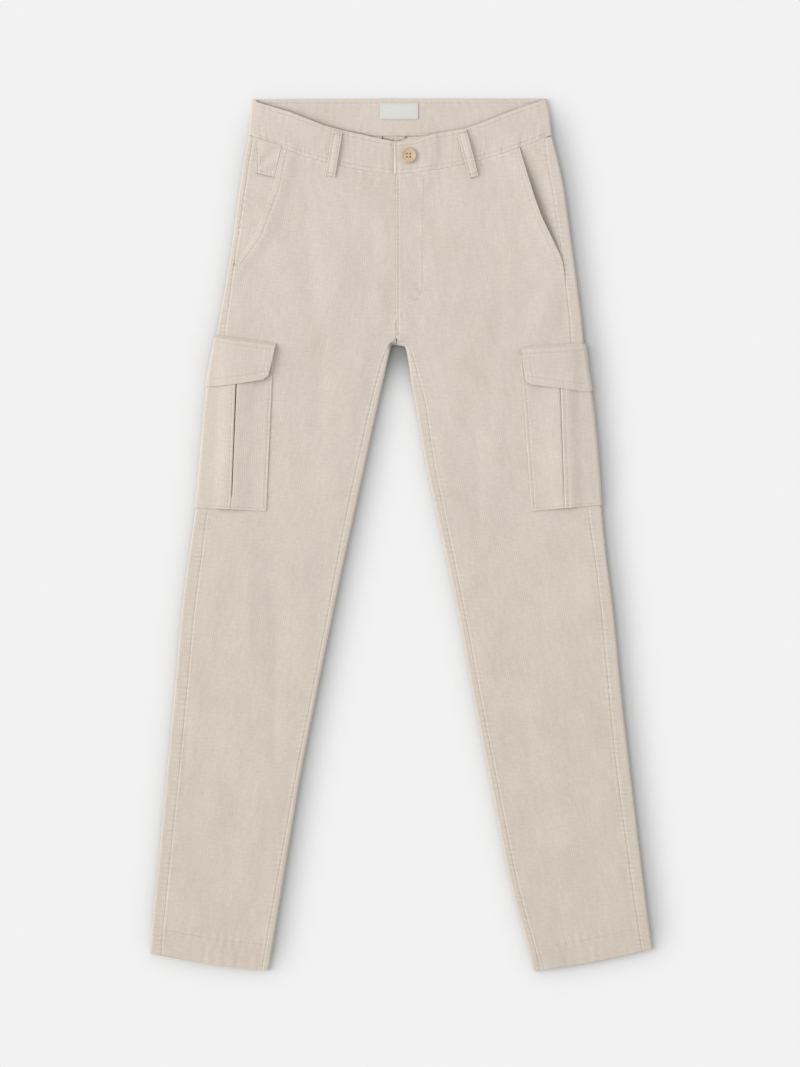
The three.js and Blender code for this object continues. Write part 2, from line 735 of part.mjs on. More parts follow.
// The pocket's pleat as a path across it: how far past the slit, and how high above the leg's cloth the
// middle of the pocket's cloth lies. The cloth runs on under the outer part, turns back to the slit and
// turns again, so that the outer part lies on top.
function pleatPath(frontReach) {
  const path = [
    { past: -frontReach, lift: pocketLift },
    { past: -frontReach / 2, lift: pocketLift },
    { past: -pleatApproach, lift: pocketLift },
    { past: pleatDepth, lift: pocketLift },
  ];
  const turn = (centrePast, centreLift, way) => {
    for (let i = 1; i <= pleatTurnSteps; i += 1) {
      const angle = Math.PI * (i / pleatTurnSteps - 0.5);
      path.push({
        past: centrePast + way * pleatTurn * Math.cos(angle),
        lift: centreLift + pleatTurn * Math.sin(angle),
      });
    }
  };
  turn(pleatDepth, pocketLift + pleatTurn, 1);
  path.push({ past: 0, lift: pocketLift + plyStep });
  turn(0, pocketLift + plyStep + pleatTurn, -1);
  return path.concat(pleatFall.map((step) => ({ past: step.past, lift: pocketLift + step.lift })));
}

// Sideways and upward direction square to the path at one of its points.
function pathNormal(path, i) {
  const before = path[Math.max(i - 1, 0)];
  const after = path[Math.min(i + 1, path.length - 1)];
  const length = Math.hypot(after.past - before.past, after.lift - before.lift);
  return {
    past: -(after.lift - before.lift) / length,
    lift: (after.past - before.past) / length,
  };
}

// The leg's row number at which its outer edge lies this far down.
function legRowAt(side, down) {
  let low = 0;
  let high = legSections[side].length - 1;
  for (let i = 0; i < halvings; i += 1) {
    const middle = (low + high) / 2;
    if (readRow(legSections[side], middle).down < down) {
      low = middle;
    } else {
      high = middle;
    }
  }
  return low;
}

// The outer edge of the outline at a distance down, on the hips or on the leg.
function outerPlaceAt(side, down) {
  const legStart = legSections[side][0].down;
  if (down >= legStart) {
    return outerPlace(legSections[side], legRowAt(side, down));
  }
  const last = hipSections[side].length - 1;
  let at = last;
  while (at > 0 && readRow(hipSections[side], at).down > down) {
    at -= rowStep;
  }
  return outerPlace(hipSections[side], at);
}

function cargoPocket(side) {
  const sizes = cargoPockets[side];
  const rows = [];
  for (let i = 0; i <= pocketRows; i += 1) {
    const share = i / pocketRows;
    const front = {
      out: mix(sizes.front.top.out, sizes.front.foot.out, share),
      down: mix(sizes.front.top.down, sizes.front.foot.down, share),
    };
    const slitOut = mix(sizes.slit.top.out, sizes.slit.foot.out, share);
    const outer = outerPlaceAt(side, mix(sizes.outerDown.top, sizes.outerDown.foot, share));
    const rollTop = inside(outer, rollRadius);
    const downAt = (out) => mix(front.down, rollTop.down, (out - front.out) / (rollTop.out - front.out));
    const path = pleatPath(slitOut - front.out);
    const row = path.map((step, k) => {
      const normal = pathNormal(path, k);
      const out = slitOut + step.past;
      const base = clothTop(side, out, downAt(out));
      const at = (reach) => ({
        out: out + normal.past * reach,
        down: downAt(out),
        z: base + step.lift + normal.lift * reach,
      });
      return node(side, at(pocketWall / 2), at(-pocketWall / 2));
    });
    for (let k = 0; k <= rollSteps; k += 1) {
      const degrees = mix(90, pocketRollEnd, k / rollSteps);
      row.push(rollNode(side, outer, rollRadius, pocketLift + pocketWall / 2, pocketWall, degrees));
    }
    rows.push(row);
  }
  return wallGeometry([rows]);
}

// Flap over the pocket's top. Its sewn edge lies on the leg's cloth and the rest lies on the pocket.
function cargoFlap(side) {
  const sizes = cargoPockets[side];
  const edgeOut = outerPlaceAt(side, sizes.flapTop.outerDown).out;
  const rows = flapRows.map((share) => {
    const sewn = share === 0;
    const topAt = (out) => {
      const frontOut = sizes.flapFront[0].out;
      const across = (out - frontOut) / (edgeOut - frontOut);
      return mix(sizes.flapTop.frontDown, sizes.flapTop.outerDown, Math.min(across, 1));
    };
    const downAt = (out) => mix(topAt(out), readColumn(sizes.flapFoot, "out", "down", out), share);
    const frontDown = mix(sizes.flapTop.frontDown, sizes.flapFront.at(-1).down, share);
    const frontOut = readColumn(sizes.flapFront, "down", "out", frontDown);
    const slitShare = (frontDown - sizes.slit.top.down) / (sizes.slit.foot.down - sizes.slit.top.down);
    const slitOut = mix(sizes.slit.top.out, sizes.slit.foot.out, slitShare);
    const steps = [{ out: frontOut, lift: 0 }];
    for (const step of flapRise) {
      steps.push({ out: slitOut + step.past, lift: step.lift });
    }
    const row = steps.map((step) => {
      const down = downAt(step.out);
      const middle = clothTop(side, step.out, down) + (sewn ? flapLift : flapOverPocket + step.lift);
      return flatNode(side, { out: step.out, down }, middle + flapWall / 2, middle - flapWall / 2);
    });
    const outer = outerPlaceAt(side, downAt(edgeOut));
    const lift = (sewn ? flapLift : flapOverPocket) + flapWall / 2;
    for (let k = 0; k <= rollSteps; k += 1) {
      row.push(rollNode(side, outer, rollRadius, lift, flapWall, mix(90, flapRollEnd, k / rollSteps)));
    }
    return row;
  });
  return wallGeometry([rows]);
}

function beltLoopStrip(side) {
  const sizes = beltLoops[side];
  const runOut = sizes.footOut - sizes.topOut;
  const runDown = sizes.footDown - sizes.topDown;
  const length = Math.hypot(runOut, runDown);
  const rows = [];
  for (let i = 0; i <= beltLoop.rows; i += 1) {
    const share = i / beltLoop.rows;
    const row = [-0.5, 0, 0.5].map((across) => {
      const point = {
        out: sizes.topOut + runOut * share + (beltLoop.width * across * runDown) / length,
        down: sizes.topDown + runDown * share - (beltLoop.width * across * runOut) / length,
      };
      const under = waistTop(side, point.out, point.down) + beltLoop.seat;
      const lift = under + beltLoop.arch * Math.sin(Math.PI * share);
      return flatNode(side, point, lift + beltLoop.wall, lift);
    });
    rows.push(row);
  }
  return wallGeometry([rows]);
}

// Flat rectangular patch of cloth.
function patch(sizes, faceZ) {
  const rows = [sizes.top, sizes.foot].map((down) =>
    [sizes.left, sizes.right].map((x) =>
      flatNode("left", { out: x, down }, faceZ, faceZ - sizes.thickness),
    ),
  );
  return wallGeometry([rows]);
}

// Ticket pocket: a lap of cloth on the right hip facing. Its lower edge is the pocket's slit.
function ticketPocketLap() {
  const side = "right";
  const rows = [];
  for (let i = 0; i <= ticketPocket.rows; i += 1) {
    const row = [];
    for (let j = 0; j <= ticketPocket.columns; j += 1) {
      const across = j / ticketPocket.columns;
      const foot = mix(ticketPocket.outerFoot, ticketPocket.innerFoot, across);
      const slantAtFoot = readColumn(slantEdges[side], "down", "out", foot);
      const roughOut = mix(ticketPocket.outer, slantAtFoot, across);
      const top = waistSeamDown(side, roughOut) + seamGap;
      const down = mix(top, foot, i / ticketPocket.rows);
      const slantOut = readColumn(slantEdges[side], "down", "out", down) + ticketPocket.slantClearance;
      const out = mix(ticketPocket.outer, slantOut, across);
      const under = clothTop(side, out, down) + layGap;
      row.push(flatNode(side, { out, down }, under + pocketWall, under));
    }
    rows.push(row);
  }
  return wallGeometry([rows]);
}

// Button: a turned disc with a raised rim, a dished middle and four holes.
async function buttonGeometry() {
  const wasm = await Module();
  wasm.setup();
  const solidOf = (geometry) => {
    geometry.deleteAttribute("normal");
    geometry.deleteAttribute("uv");
    const merged = mergeVertices(geometry, mergeDistance);
    const mesh = new wasm.Mesh({
      numProp: 3,
      vertProperties: merged.attributes.position.array,
      triVerts: new Uint32Array(merged.index.array),
    });
    return new wasm.Manifold(mesh);
  };
  const { radius, thickness, rim, dish, hole, holeSpread } = button;
  const profile = [
    [0, 0],
    [radius * 0.8, 0],
    [radius, thickness * 0.4],
    [radius, thickness * 0.75],
    [radius - rim * 0.5, thickness],
    [radius - rim, thickness * 0.95],
    [radius - rim * 1.6, thickness - dish],
    [0, thickness - dish],
  ];
  const disc = new THREE.LatheGeometry(profile.map(([r, z]) => new THREE.Vector2(r, z)), buttonSides);
  disc.rotateX(Math.PI / 2);
  let solid = solidOf(disc);
  for (const x of [-holeSpread, holeSpread]) {
    for (const y of [-holeSpread, holeSpread]) {
      const drill = new THREE.CylinderGeometry(hole, hole, thickness * 4, holeSides);
      drill.rotateX(Math.PI / 2);
      drill.translate(x, y, 0);
      solid = solid.subtract(solidOf(drill));
    }
  }
  const cut = solid.getMesh();
  const geometry = new THREE.BufferGeometry();
  geometry.setAttribute("position", new THREE.BufferAttribute(cut.vertProperties, 3));
  geometry.setIndex(new THREE.BufferAttribute(cut.triVerts, 1));
  return geometry;
}

const trousers = new THREE.Group();

function addPiece(name, geometry, look) {
  const mesh = new THREE.Mesh(geometry, new THREE.MeshStandardMaterial(look));
  mesh.name = name;
  trousers.add(mesh);
  return mesh;
}

for (const side of ["right", "left"]) {
  addPiece("back_" + side, backPanel(side), clothLook);
  addPiece("front_" + side, frontPanel(side), clothLook);
  addPiece("hip_facing_" + side, hipFacing(side), clothLook);
  addPiece("waistband_" + side, waistband(side), clothLook);
  addPiece("belt_loop_" + side, beltLoopStrip(side), clothLook);
  addPiece("cargo_pocket_" + side, cargoPocket(side), clothLook);
  addPiece("cargo_flap_" + side, cargoFlap(side), clothLook);
}
addPiece("ticket_pocket_right", ticketPocketLap(), clothLook);
addPiece("label_blank", patch(label, bandWall + layGap + label.thickness), labelLook);
addPiece("hanger_tab", patch(hangerTab, clothWall + layGap + hangerTab.thickness), clothLook);
const buttonMesh = addPiece("button", await buttonGeometry(), buttonLook);
const buttonSeat = bandTop("left", button.x, buttonBandShare) + layGap;
buttonMesh.position.set(button.x, backWaistY - button.down, buttonSeat);

export default trousers;
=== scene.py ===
import math

import bpy
import numpy as np
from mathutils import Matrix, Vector


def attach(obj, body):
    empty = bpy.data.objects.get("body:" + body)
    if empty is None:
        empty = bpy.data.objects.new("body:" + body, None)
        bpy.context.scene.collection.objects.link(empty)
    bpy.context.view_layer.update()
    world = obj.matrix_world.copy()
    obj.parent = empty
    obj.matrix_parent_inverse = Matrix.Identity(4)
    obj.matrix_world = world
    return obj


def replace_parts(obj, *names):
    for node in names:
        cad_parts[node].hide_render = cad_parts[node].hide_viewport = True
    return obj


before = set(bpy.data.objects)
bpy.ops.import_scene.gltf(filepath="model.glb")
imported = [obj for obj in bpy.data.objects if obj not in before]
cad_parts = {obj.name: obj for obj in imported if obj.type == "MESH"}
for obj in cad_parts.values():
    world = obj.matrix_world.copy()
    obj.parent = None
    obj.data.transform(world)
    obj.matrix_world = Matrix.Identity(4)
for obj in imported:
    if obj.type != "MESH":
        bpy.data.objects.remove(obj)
bpy.ops.object.select_all(action="DESELECT")
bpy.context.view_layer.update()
print("trousers: frame loaded")

# Sizes are in millimetres, as a cutter works, and meshes are made in metres.
# out is the distance from the middle towards the piece's own side, down is the distance below the
# back waist edge. Left and right are the wearer's.
sides = {"right": -1, "left": 1}
backWaistY = 530.73
walls = {"cloth": 1.2, "hem": 2, "band": 1.9, "pocket": 1, "flap": 1.2}
gaps = {"seam": 0.06, "lay": 0.3, "band": 0.1}
roll = {"height": 5.6, "radius": 2.8, "steps": 9}
crown = {"height": 0.5, "width": 30}
lapClearance = 0.3

# One row for each section of the hips, from the waistband seam to the crotch
# Columns: edge, down, seam, front down, back down, bow, lap
hipSections = {
    "right": [
        (185, 46.5, 5.5, 93.5, 46.5, 8, 12),
        (191, 76.5, 6.5, 116.5, 78, 6.5, 12),
        (197, 116.5, 6.5, 147, 116.5, 5, 12),
        (204, 167.5, 6.5, 186, 167.5, 3.5, 12),
        (209.5, 204, 6.5, 215, 204, 2, 12),
        (216.5, 245.5, 8, 249, 245.5, 1, 10),
        (222, 274.5, 9.5, 273.5, 277, 0, 0),
        (226, 299, 11.5, 293.5, 297.5, 0, 0),
    ],
    "left": [
        (183, 47, 9, 93.5, 46.5, 8, 0),
        (190.5, 76.5, 13, 116.5, 78, 6.5, 0),
        (198.5, 116.5, 14, 147, 116.5, 5, 0),
        (205.5, 167.5, 13.5, 186, 167.5, 3.5, 0),
        (210.5, 204, 13.5, 215, 204, 2, 0),
        (216, 245.5, 14, 249, 245.5, 1, 0),
        (219.5, 274.5, 14.5, 273.5, 277, 0, 0),
        (221.5, 299, 15, 293.5, 297.5, 0, 0),
    ],
}

# One row for each section of the legs, from the crotch to the hem
# Columns: edge, down, seam, inner, inner down, strip, bow
legSections = {
    "right": [
        (226, 299, 11.5, 6, 300.5, 7, 0),
        (226.5, 302, 11.5, 8.5, 300.5, 5, 0),
        (227, 305.5, 12, 11, 301, 4, 0),
        (228, 310, 12, 12.5, 304, 4, 0),
        (229.5, 316, 12, 14, 309, 4.5, 0),
        (232, 329.5, 12.5, 17, 322, 6, 0),
        (235.5, 351, 13.5, 22, 345, 7.5, 0),
        (238.5, 379, 14, 28.5, 374, 8.5, 0),
        (243.5, 434, 14.5, 41.5, 434, 9, 0),
        (249.5, 497, 14.5, 56.5, 504, 9, 0),
        (258.5, 561.5, 15.5, 71.5, 572.5, 7.5, 0),
        (267, 628, 15.5, 86, 642.5, 6, 0),
        (275.5, 725.5, 15, 106, 741, 5.5, 0),
        (283.5, 809, 15, 122.5, 826, 5.5, 0.5),
        (294.5, 926, 14, 142, 944, 7, 1.5),
        (302.7, 1007, 14, 156, 1029, 8, 2.5),
        (305, 1039, 14, 161, 1059.5, 8, 2.7),
    ],
    "left": [
        (221.5, 299, 15, -6, 300.5, 7, 0),
        (222, 302, 15, -3, 301, 5, 0),
        (222.5, 305.5, 15.5, 0.5, 301.5, 4, 0),
        (223, 310, 15.5, 4, 302.5, 4, 0),
        (224, 316, 15.5, 6, 307, 5, 0),
        (225.5, 329.5, 16, 9, 323, 7.5, 0),
        (229, 351, 16, 12.5, 347.5, 10.5, 0),
        (233, 379, 16.5, 18, 376.5, 12, 0),
        (238.5, 434, 16.5, 28, 435, 10.5, 0),
        (243, 497, 16.5, 42.5, 504, 9.5, 0),
        (249.5, 561.5, 14, 57.5, 572.5, 9, 0),
        (258, 628, 14.5, 72, 642.5, 8.5, 0),
        (267.5, 725.5, 15, 90.5, 742.5, 8.5, 0),
        (277, 809, 16, 107.5, 828.5, 8.5, 0.3),
        (291, 926, 14.5, 131.5, 949, 8.5, 1),
        (301, 1006, 13, 154.5, 1033.5, 8, 1.5),
        (305, 1033.5, 13, 160.5, 1060.5, 8, 1.7),
    ],
}
hemRow = 15
hipCentre = {side: legSections[side][0][3] for side in sides}

# Where the grain runs down the middle of each leg: how far out it is at every 150 mm
grainStep = 150
grainLines = {
    "right": [(84,), (101,), (119,), (145,), (171,), (193,), (213.5,), (232,), (250,)],
    "left": [(76,), (92.5,), (111,), (135.5,), (158.5,), (182,), (205,), (230,), (254,)],
}

# Main creases: x1, down1, x2, down2, half width, height (a trough where it is below nought)
creases = [
    (-116, 118, -107, 245, 11, -0.8), (-68, 160, -87, 282, 17, 0.5), (-38, 282, -60, 403, 15, 0.5),
    (-96, 294, -101, 452, 11, -0.7), (-140, 330, -135, 476, 15, 0.5), (-155, 561, -152, 804, 11, -0.7),
    (-187, 549, -184, 683, 12, 0.5), (-260, 719, -265, 841, 10, -0.6), (-226, 816, -226, 926, 15, 0.4),
    (-157, 841, -169, 974, 11, -0.5), (-257, 950, -245, 1011, 15, 0.4), (-80, 112, -32, 179, 10, -0.5),
    (63, 191, 54, 270, 11, -0.5), (118, 166, 120, 294, 11, -0.5), (175, 207, 144, 282, 10, -0.6),
    (120, 330, 116, 464, 15, 0.5), (84, 367, 98, 537, 11, -0.5), (120, 750, 121, 798, 10, 0.7),
    (122, 816, 126, 859, 10, -0.6), (156, 659, 193, 853, 17, 0.4), (241, 610, 272, 877, 11, -0.4),
    (229, 950, 241, 1011, 17, 0.4),
]

# Small creases that the cloth takes beside its seams and between the main ones, in the same columns
smallCreases = [
    (-192, 221, -174, 267, 6, -0.45), (-201, 246, -189, 282, 5, 0.4), (-166, 118, -177, 166, 5, -0.35),
    (-238, 519, -238, 561, 7, -0.4), (-111, 610, -123, 731, 8, 0.3), (38, 173, 42, 246, 7, 0.35),
    (184, 227, 163, 288, 5, 0.45), (200, 233, 193, 288, 5, -0.4), (47, 416, 56, 488, 6, 0.4),
    (62, 537, 65, 580, 5, -0.5), (130, 610, 129, 659, 6, -0.4), (93, 659, 98, 677, 4, 0.45),
    (108, 689, 110, 707, 4, 0.4), (96, 725, 104, 774, 4, -0.5), (151, 731, 157, 853, 6, -0.35),
    (12, 262, 22, 283, 4, -0.3), (20, 258, 38, 276, 5, 0.3), (4, 291, -14, 271, 4, -0.3),
    (-30, 322, -48, 300, 6, -0.35), (30, 318, 52, 292, 6, 0.35), (-60, 470, -70, 560, 7, 0.35),
    (-228, 610, -232, 690, 7, 0.35), (-96, 700, -118, 780, 6, -0.35), (-205, 905, -212, 985, 7, -0.35),
    (-280, 860, -284, 930, 5, 0.35), (176, 880, 192, 985, 8, -0.35), (262, 905, 272, 980, 6, 0.3),
    (230, 560, 238, 640, 7, 0.3), (95, 100, 92, 160, 7, 0.3), (-150, 95, -146, 150, 6, 0.3),
    (-60, 100, -62, 150, 6, -0.3), (148, 100, 156, 150, 6, -0.3), (-20, 150, -24, 250, 7, 0.3),
]

creaseDepth = 1.4

slantEdges = {  # down, out
    "right": [(61.5, 145.5), (112, 156.5), (136, 166), (167.5, 177.5), (204, 203), (250, 235)],
    "left": [(58.5, 142.5), (75.5, 147.5), (98.5, 154.5), (123, 162), (146, 170.5), (192.5, 193),
             (203, 196.5), (250, 212)],
}
slantMouths = {
    "right": {"gape": 0, "sink": 0, "under": 12, "shade": 0},
    "left": {"gape": 3.4, "sink": 2.8, "under": 26, "shade": 1.7},
}
slant = {"top": 58, "foot": 204, "fade": 12, "footFade": 25, "stitch": 7}
fly = {"foot": 272, "footFade": 20, "fade": 14, "stitch": 2.2, "topWidth": 38, "narrowAt": 94,
       "narrowFade": 44, "sink": 0.9, "sinkWidth": 20}
crotchFolds = [[(-11.5, 300), (-5.5, 292.8)], [(-6, 298), (5, 295.6)], [(4, 293.4), (7, 292)]]  # x, down
flyStitch = [(26.5, 96), (25.6, 140), (25, 190), (25.4, 226), (23.5, 236), (19.5, 243.5), (13.7, 248)]


def smooth(value):
    t = np.clip(value, 0, 1)
    return t * t * (3 - 2 * t)


def mix(start, end, share):
    return start + (end - start) * share


def bell(distance, width):
    return np.exp(-((distance / width) ** 2))


def away(spots, start):  # how far places lie from others
    return np.linalg.norm(spots - start, axis=-1)


def least(first, *others):
    for other in others:
        first = np.minimum(first, other)
    return first


def readRows(rows, at):  # a smooth curve through the rows, at row numbers that may lie between them
    table = np.array(rows, float)
    at = np.atleast_1d(np.asarray(at, float))
    low = np.clip(np.floor(at).astype(int), 0, len(table) - 2)
    t = (at - low)[..., None]
    b = table[low]
    c = table[low + 1]
    a = np.where((low > 0)[..., None], table[np.maximum(low - 1, 0)], 2 * b - c)
    last = len(table) - 1
    d = np.where((low + 2 <= last)[..., None], table[np.minimum(low + 2, last)], 2 * c - b)
    bend = t * (2 * a - 5 * b + 4 * c - d + t * (3 * (b - c) + d - a))
    return b + 0.5 * t * (c - a + bend)


def readLine(line, value):  # straight steps through (key, value) rows, carried on past the ends
    keys, values = np.array(line, float).T
    low = np.clip(np.searchsorted(keys, value) - 1, 0, len(keys) - 2)
    return mix(values[low], values[low + 1], (value - keys[low]) / (keys[low + 1] - keys[low]))


def edgePlaces(rows, at, columns, turn):  # places on an outline edge, and the way out from the cloth
    step = 0.05
    spot = readRows(rows, at)[:, columns]
    before = readRows(rows, np.maximum(at - step, 0))[:, columns]
    run = readRows(rows, np.minimum(at + step, len(rows) - 1))[:, columns] - before
    run = run / np.linalg.norm(run, axis=1, keepdims=True)
    return spot, turn * np.stack([run[:, 1], -run[:, 0]], 1)


def sideRows(side, hipAt, legAt):  # everything that a row of cloth needs, hips first and then legs
    hips = readRows(hipSections[side], hipAt)
    legs = readRows(legSections[side], legAt)
    hipSpot, hipNormal = edgePlaces(hipSections[side], hipAt, [0, 1], 1)
    legSpot, legNormal = edgePlaces(legSections[side], legAt, [0, 1], 1)
    inSpot, inNormal = edgePlaces(legSections[side], legAt, [3, 4], -1)
    none = np.zeros(len(hipAt))
    centre = none + hipCentre[side] + gaps["seam"] / 2
    frontEnd = inSpot - inNormal * (legs[:, 5:6] + gaps["seam"] / 2)
    backEnd = inSpot - inNormal * roll["radius"]
    return {
        "outer": np.concatenate([hipSpot, legSpot]),
        "normal": np.concatenate([hipNormal, legNormal]),
        "seam": np.concatenate([hips[:, 2], legs[:, 2]]),
        "frontEnd": np.concatenate([np.stack([centre, hips[:, 3]], 1), frontEnd]),
        "backEnd": np.concatenate([np.stack([centre, hips[:, 4] + gaps["band"] / 2], 1), backEnd]),
        "frontBow": np.concatenate([hips[:, 5], legs[:, 6]]),
        "backBow": np.concatenate([none, legs[:, 6]]),
        "lap": np.concatenate([np.maximum(hips[:, 6], 0), 0 * legAt]),
        "onLeg": np.concatenate([none, 0 * legAt + 1]) > 0,
        "at": np.concatenate([hipAt, legAt]),
        "inner": inSpot,
        "innerNormal": inNormal,
        "strip": legs[:, 5],
    }


def spacedRows(rows, first, last, positions):  # row numbers at which the outer edge lies this far down
    dense = np.linspace(first, last, 1200)
    return np.interp(positions, readRows(rows, dense)[:, 1], dense)


def fineEnds(length, step, atStart=True, atEnd=True):  # shares of a length, close together at its ends
    close = np.array([0, 0.15, 0.4, 0.8, 1.3, 2, 2.9, 4, 5.3, 6.8, 8.5, 10.5])
    close = close[close < 0.45 * length]
    start = close if atStart else np.array([0.0])
    end = close if atEnd else np.array([0.0])
    count = max(int((length - start[-1] - end[-1]) / step), 1)
    middle = np.linspace(start[-1], length - end[-1], count + 1)[1:-1]
    return np.concatenate([start, middle, (length - end)[::-1]]) / length


outerLines = {}
innerLines = {}
for side in sides:
    rowsHere = sideRows(side, np.linspace(0, 6.9, 28), np.linspace(0, 16, 64))
    outerLines[side] = rowsHere["outer"]
    innerLines[side] = rowsHere["inner"]


def distanceToLine(line, spots):
    line = np.asarray(line, float)
    nearest = np.full(spots.shape[:-1], np.inf)
    for start, end in zip(line[:-1], line[1:]):
        run = end - start
        share = np.clip(((spots - start) @ run) / (run @ run), 0, 1)
        nearest = np.minimum(nearest, np.linalg.norm(spots - start - share[..., None] * run, axis=-1))
    return nearest


def creaseHeight(side, spots, small=True):
    place = spots * np.array([sides[side], 1])
    height = np.zeros(spots.shape[:-1])
    for x1, down1, x2, down2, width, high in creases + (smallCreases if small else []):
        start = np.array([x1, down1], float)
        run = np.array([x2 - x1, down2 - down1], float)
        length = np.linalg.norm(run)
        share = np.clip(((place - start) @ run) / length**2, 0, 1)
        bend = 0.16 * width * np.sin(share * 5.1 + x1 * 0.37)
        aside = np.stack([run[1], -run[0]]) / length
        distance = np.linalg.norm(place - start - share[..., None] * run - bend[..., None] * aside, axis=-1)
        fade = 0.72 + 0.28 * np.sin(np.pi * share + 0.4 * np.sin(down1))
        spread = width * (0.8 + 0.3 * np.sin(share * 3.3 + down1))
        height += creaseDepth * high * fade * bell(distance, spread)
    return height


def clothTop(side, spots, small=True):  # height of the upper cloth where nothing lies under it
    fromOuter = smooth((distanceToLine(outerLines[side], spots) - roll["radius"]) / crown["width"])
    fromInner = smooth((distanceToLine(innerLines[side], spots) - roll["radius"]) / crown["width"])
    crease = creaseHeight(side, spots, small)
    return roll["height"] + (crown["height"] + crease) * fromOuter * fromInner


def pastSlant(side, spots):  # how far inwards of the slant pocket's edge a place lies
    return readLine(slantEdges[side], spots[..., 1]) - spots[..., 0]


def frontTop(side, spots, small=True):  # the front panel, over the hip facing and the fly's underlap
    inward = pastSlant(side, spots)
    mouth = slantMouths[side]
    overFacing = 1 - smooth((inward - mouth["under"] - 1) / slant["fade"])
    aboveFoot = 1 - smooth((spots[..., 1] - slant["foot"] - 2) / slant["footFade"])
    lift = (walls["cloth"] + lapClearance) * overFacing * aboveFoot
    along = np.clip((spots[..., 1] - slant["top"]) / (slant["foot"] - slant["top"]), 0, 1)
    gape = mouth["gape"] * np.sin(np.pi * along) * (1 - smooth(inward / mouth["under"]))
    fromFly = spots[..., 0] - hipCentre[side]
    lap = hipSections["right"][0][6]
    footFade = 1 - smooth((spots[..., 1] - fly["foot"]) / fly["footFade"])
    sunk = fly["sink"] * (1 - smooth((fromFly - 1) / fly["sinkWidth"]))
    if side == "right":
        lift = lift - sunk * footFade
    if side == "left":
        narrow = smooth((spots[..., 1] - fly["narrowAt"]) / fly["narrowFade"])
        overLap = 1 - smooth((fromFly - mix(fly["topWidth"], lap + 2, narrow)) / fly["fade"])
        lapLift = walls["cloth"] + lapClearance - fly["sink"] * narrow
        lift = np.maximum(lift, lapLift * overLap * footFade)
    return clothTop(side, spots, small) + lift + gape


def ripple(along, pitch, seed):  # an uneven row of puckers, from -1 to 1
    slow = np.sin(along / (pitch * 3.1) + seed * 2.3)
    swell = 0.62 + 0.38 * np.sin(along / (pitch * 1.9) + seed * 1.7 + slow)
    return np.sin(2 * np.pi * along / pitch + 2.1 * slow + seed) * swell


def waviness(side, spots, seed):  # the slight unevenness of cloth that lies by itself
    x = spots[..., 0] * sides[side]
    y = spots[..., 1]
    broad = np.sin(x / 13 + seed + 1.4 * np.sin(y / 47)) * np.sin(y / 39 + 1.2 * np.sin(x / 31 + seed))
    fine = np.sin(x / 5.3 + 2.2 * np.sin(y / 61 + seed)) * np.sin(y / 21 + np.sin(x / 17))
    return 0.13 * broad + 0.05 * fine


def edgeDrop(distance, radius):  # how far a folded edge of cloth turns down
    reach = np.clip(radius - distance, 0, radius)
    return radius - np.sqrt(np.maximum(radius**2 - reach**2, 0))


def stitchRelief(distance, along, look, seed):  # the groove of a row of stitches, and its puckers; in the colour, painted shade in the groove and painted light on its ridges
    groove = -look["groove"] * bell(distance, 1.1)
    ridges = look["ridge"] * (bell(distance - 2.1, 1) + bell(distance + 2.1, 1))
    puckers = look["pucker"] * ripple(along, look["pitch"], seed) * bell(distance, look["reach"])
    return groove + ridges + puckers


seamLook = {"groove": 0.2, "ridge": 0.22, "pucker": 0.4, "pitch": 6.1, "reach": 7}
topstitchLook = {"groove": 0.2, "ridge": 0.26, "pucker": 0.26, "pitch": 4.9, "reach": 3.6}
hemLook = {"groove": 0.1, "ridge": 0.1, "pucker": 0.36, "pitch": 9.5, "reach": 9}


def grainOf(side, spots):  # how far across and along the wales a place of the upper cloth lies
    at = spots[..., 1] / grainStep
    line = readRows(grainLines[side], at)[..., 0]
    slope = (readRows(grainLines[side], at + 0.1)[..., 0] - line) / (0.1 * grainStep)
    across = (spots[..., 0] - line) / np.sqrt(1 + slope**2)
    return np.stack([across, spots[..., 1]], -1)


def rolledSpots(spot, normal, lift, degrees):  # round a leg's edge: 90 is on top, -90 underneath
    angle = np.radians(degrees)
    reach = roll["radius"] + lift
    inwards = roll["radius"] - reach * np.cos(angle)
    spots = spot[:, None, :] - normal[:, None, :] * inwards[None, :, None]
    return spots, np.broadcast_to(roll["radius"] + reach * np.sin(angle), spots.shape[:2])


def place(side, spots, z):  # from out, down and height to the object's frame
    return np.stack([sides[side] * spots[..., 0], backWaistY - spots[..., 1], z], -1)


def newMesh(name, points, polygons):  # points in millimetres
    mesh = bpy.data.meshes.new(name)
    mesh.from_pydata((points / 1000).tolist(), [], polygons)
    return mesh


def newPiece(name, mesh):
    piece = bpy.data.objects.new(name, mesh)
    bpy.context.scene.collection.objects.link(piece)
    return piece


def choose(piece):  # it becomes the only selected object, and the active one
    bpy.ops.object.select_all(action="DESELECT")
    piece.select_set(True)
    bpy.context.view_layer.objects.active = piece


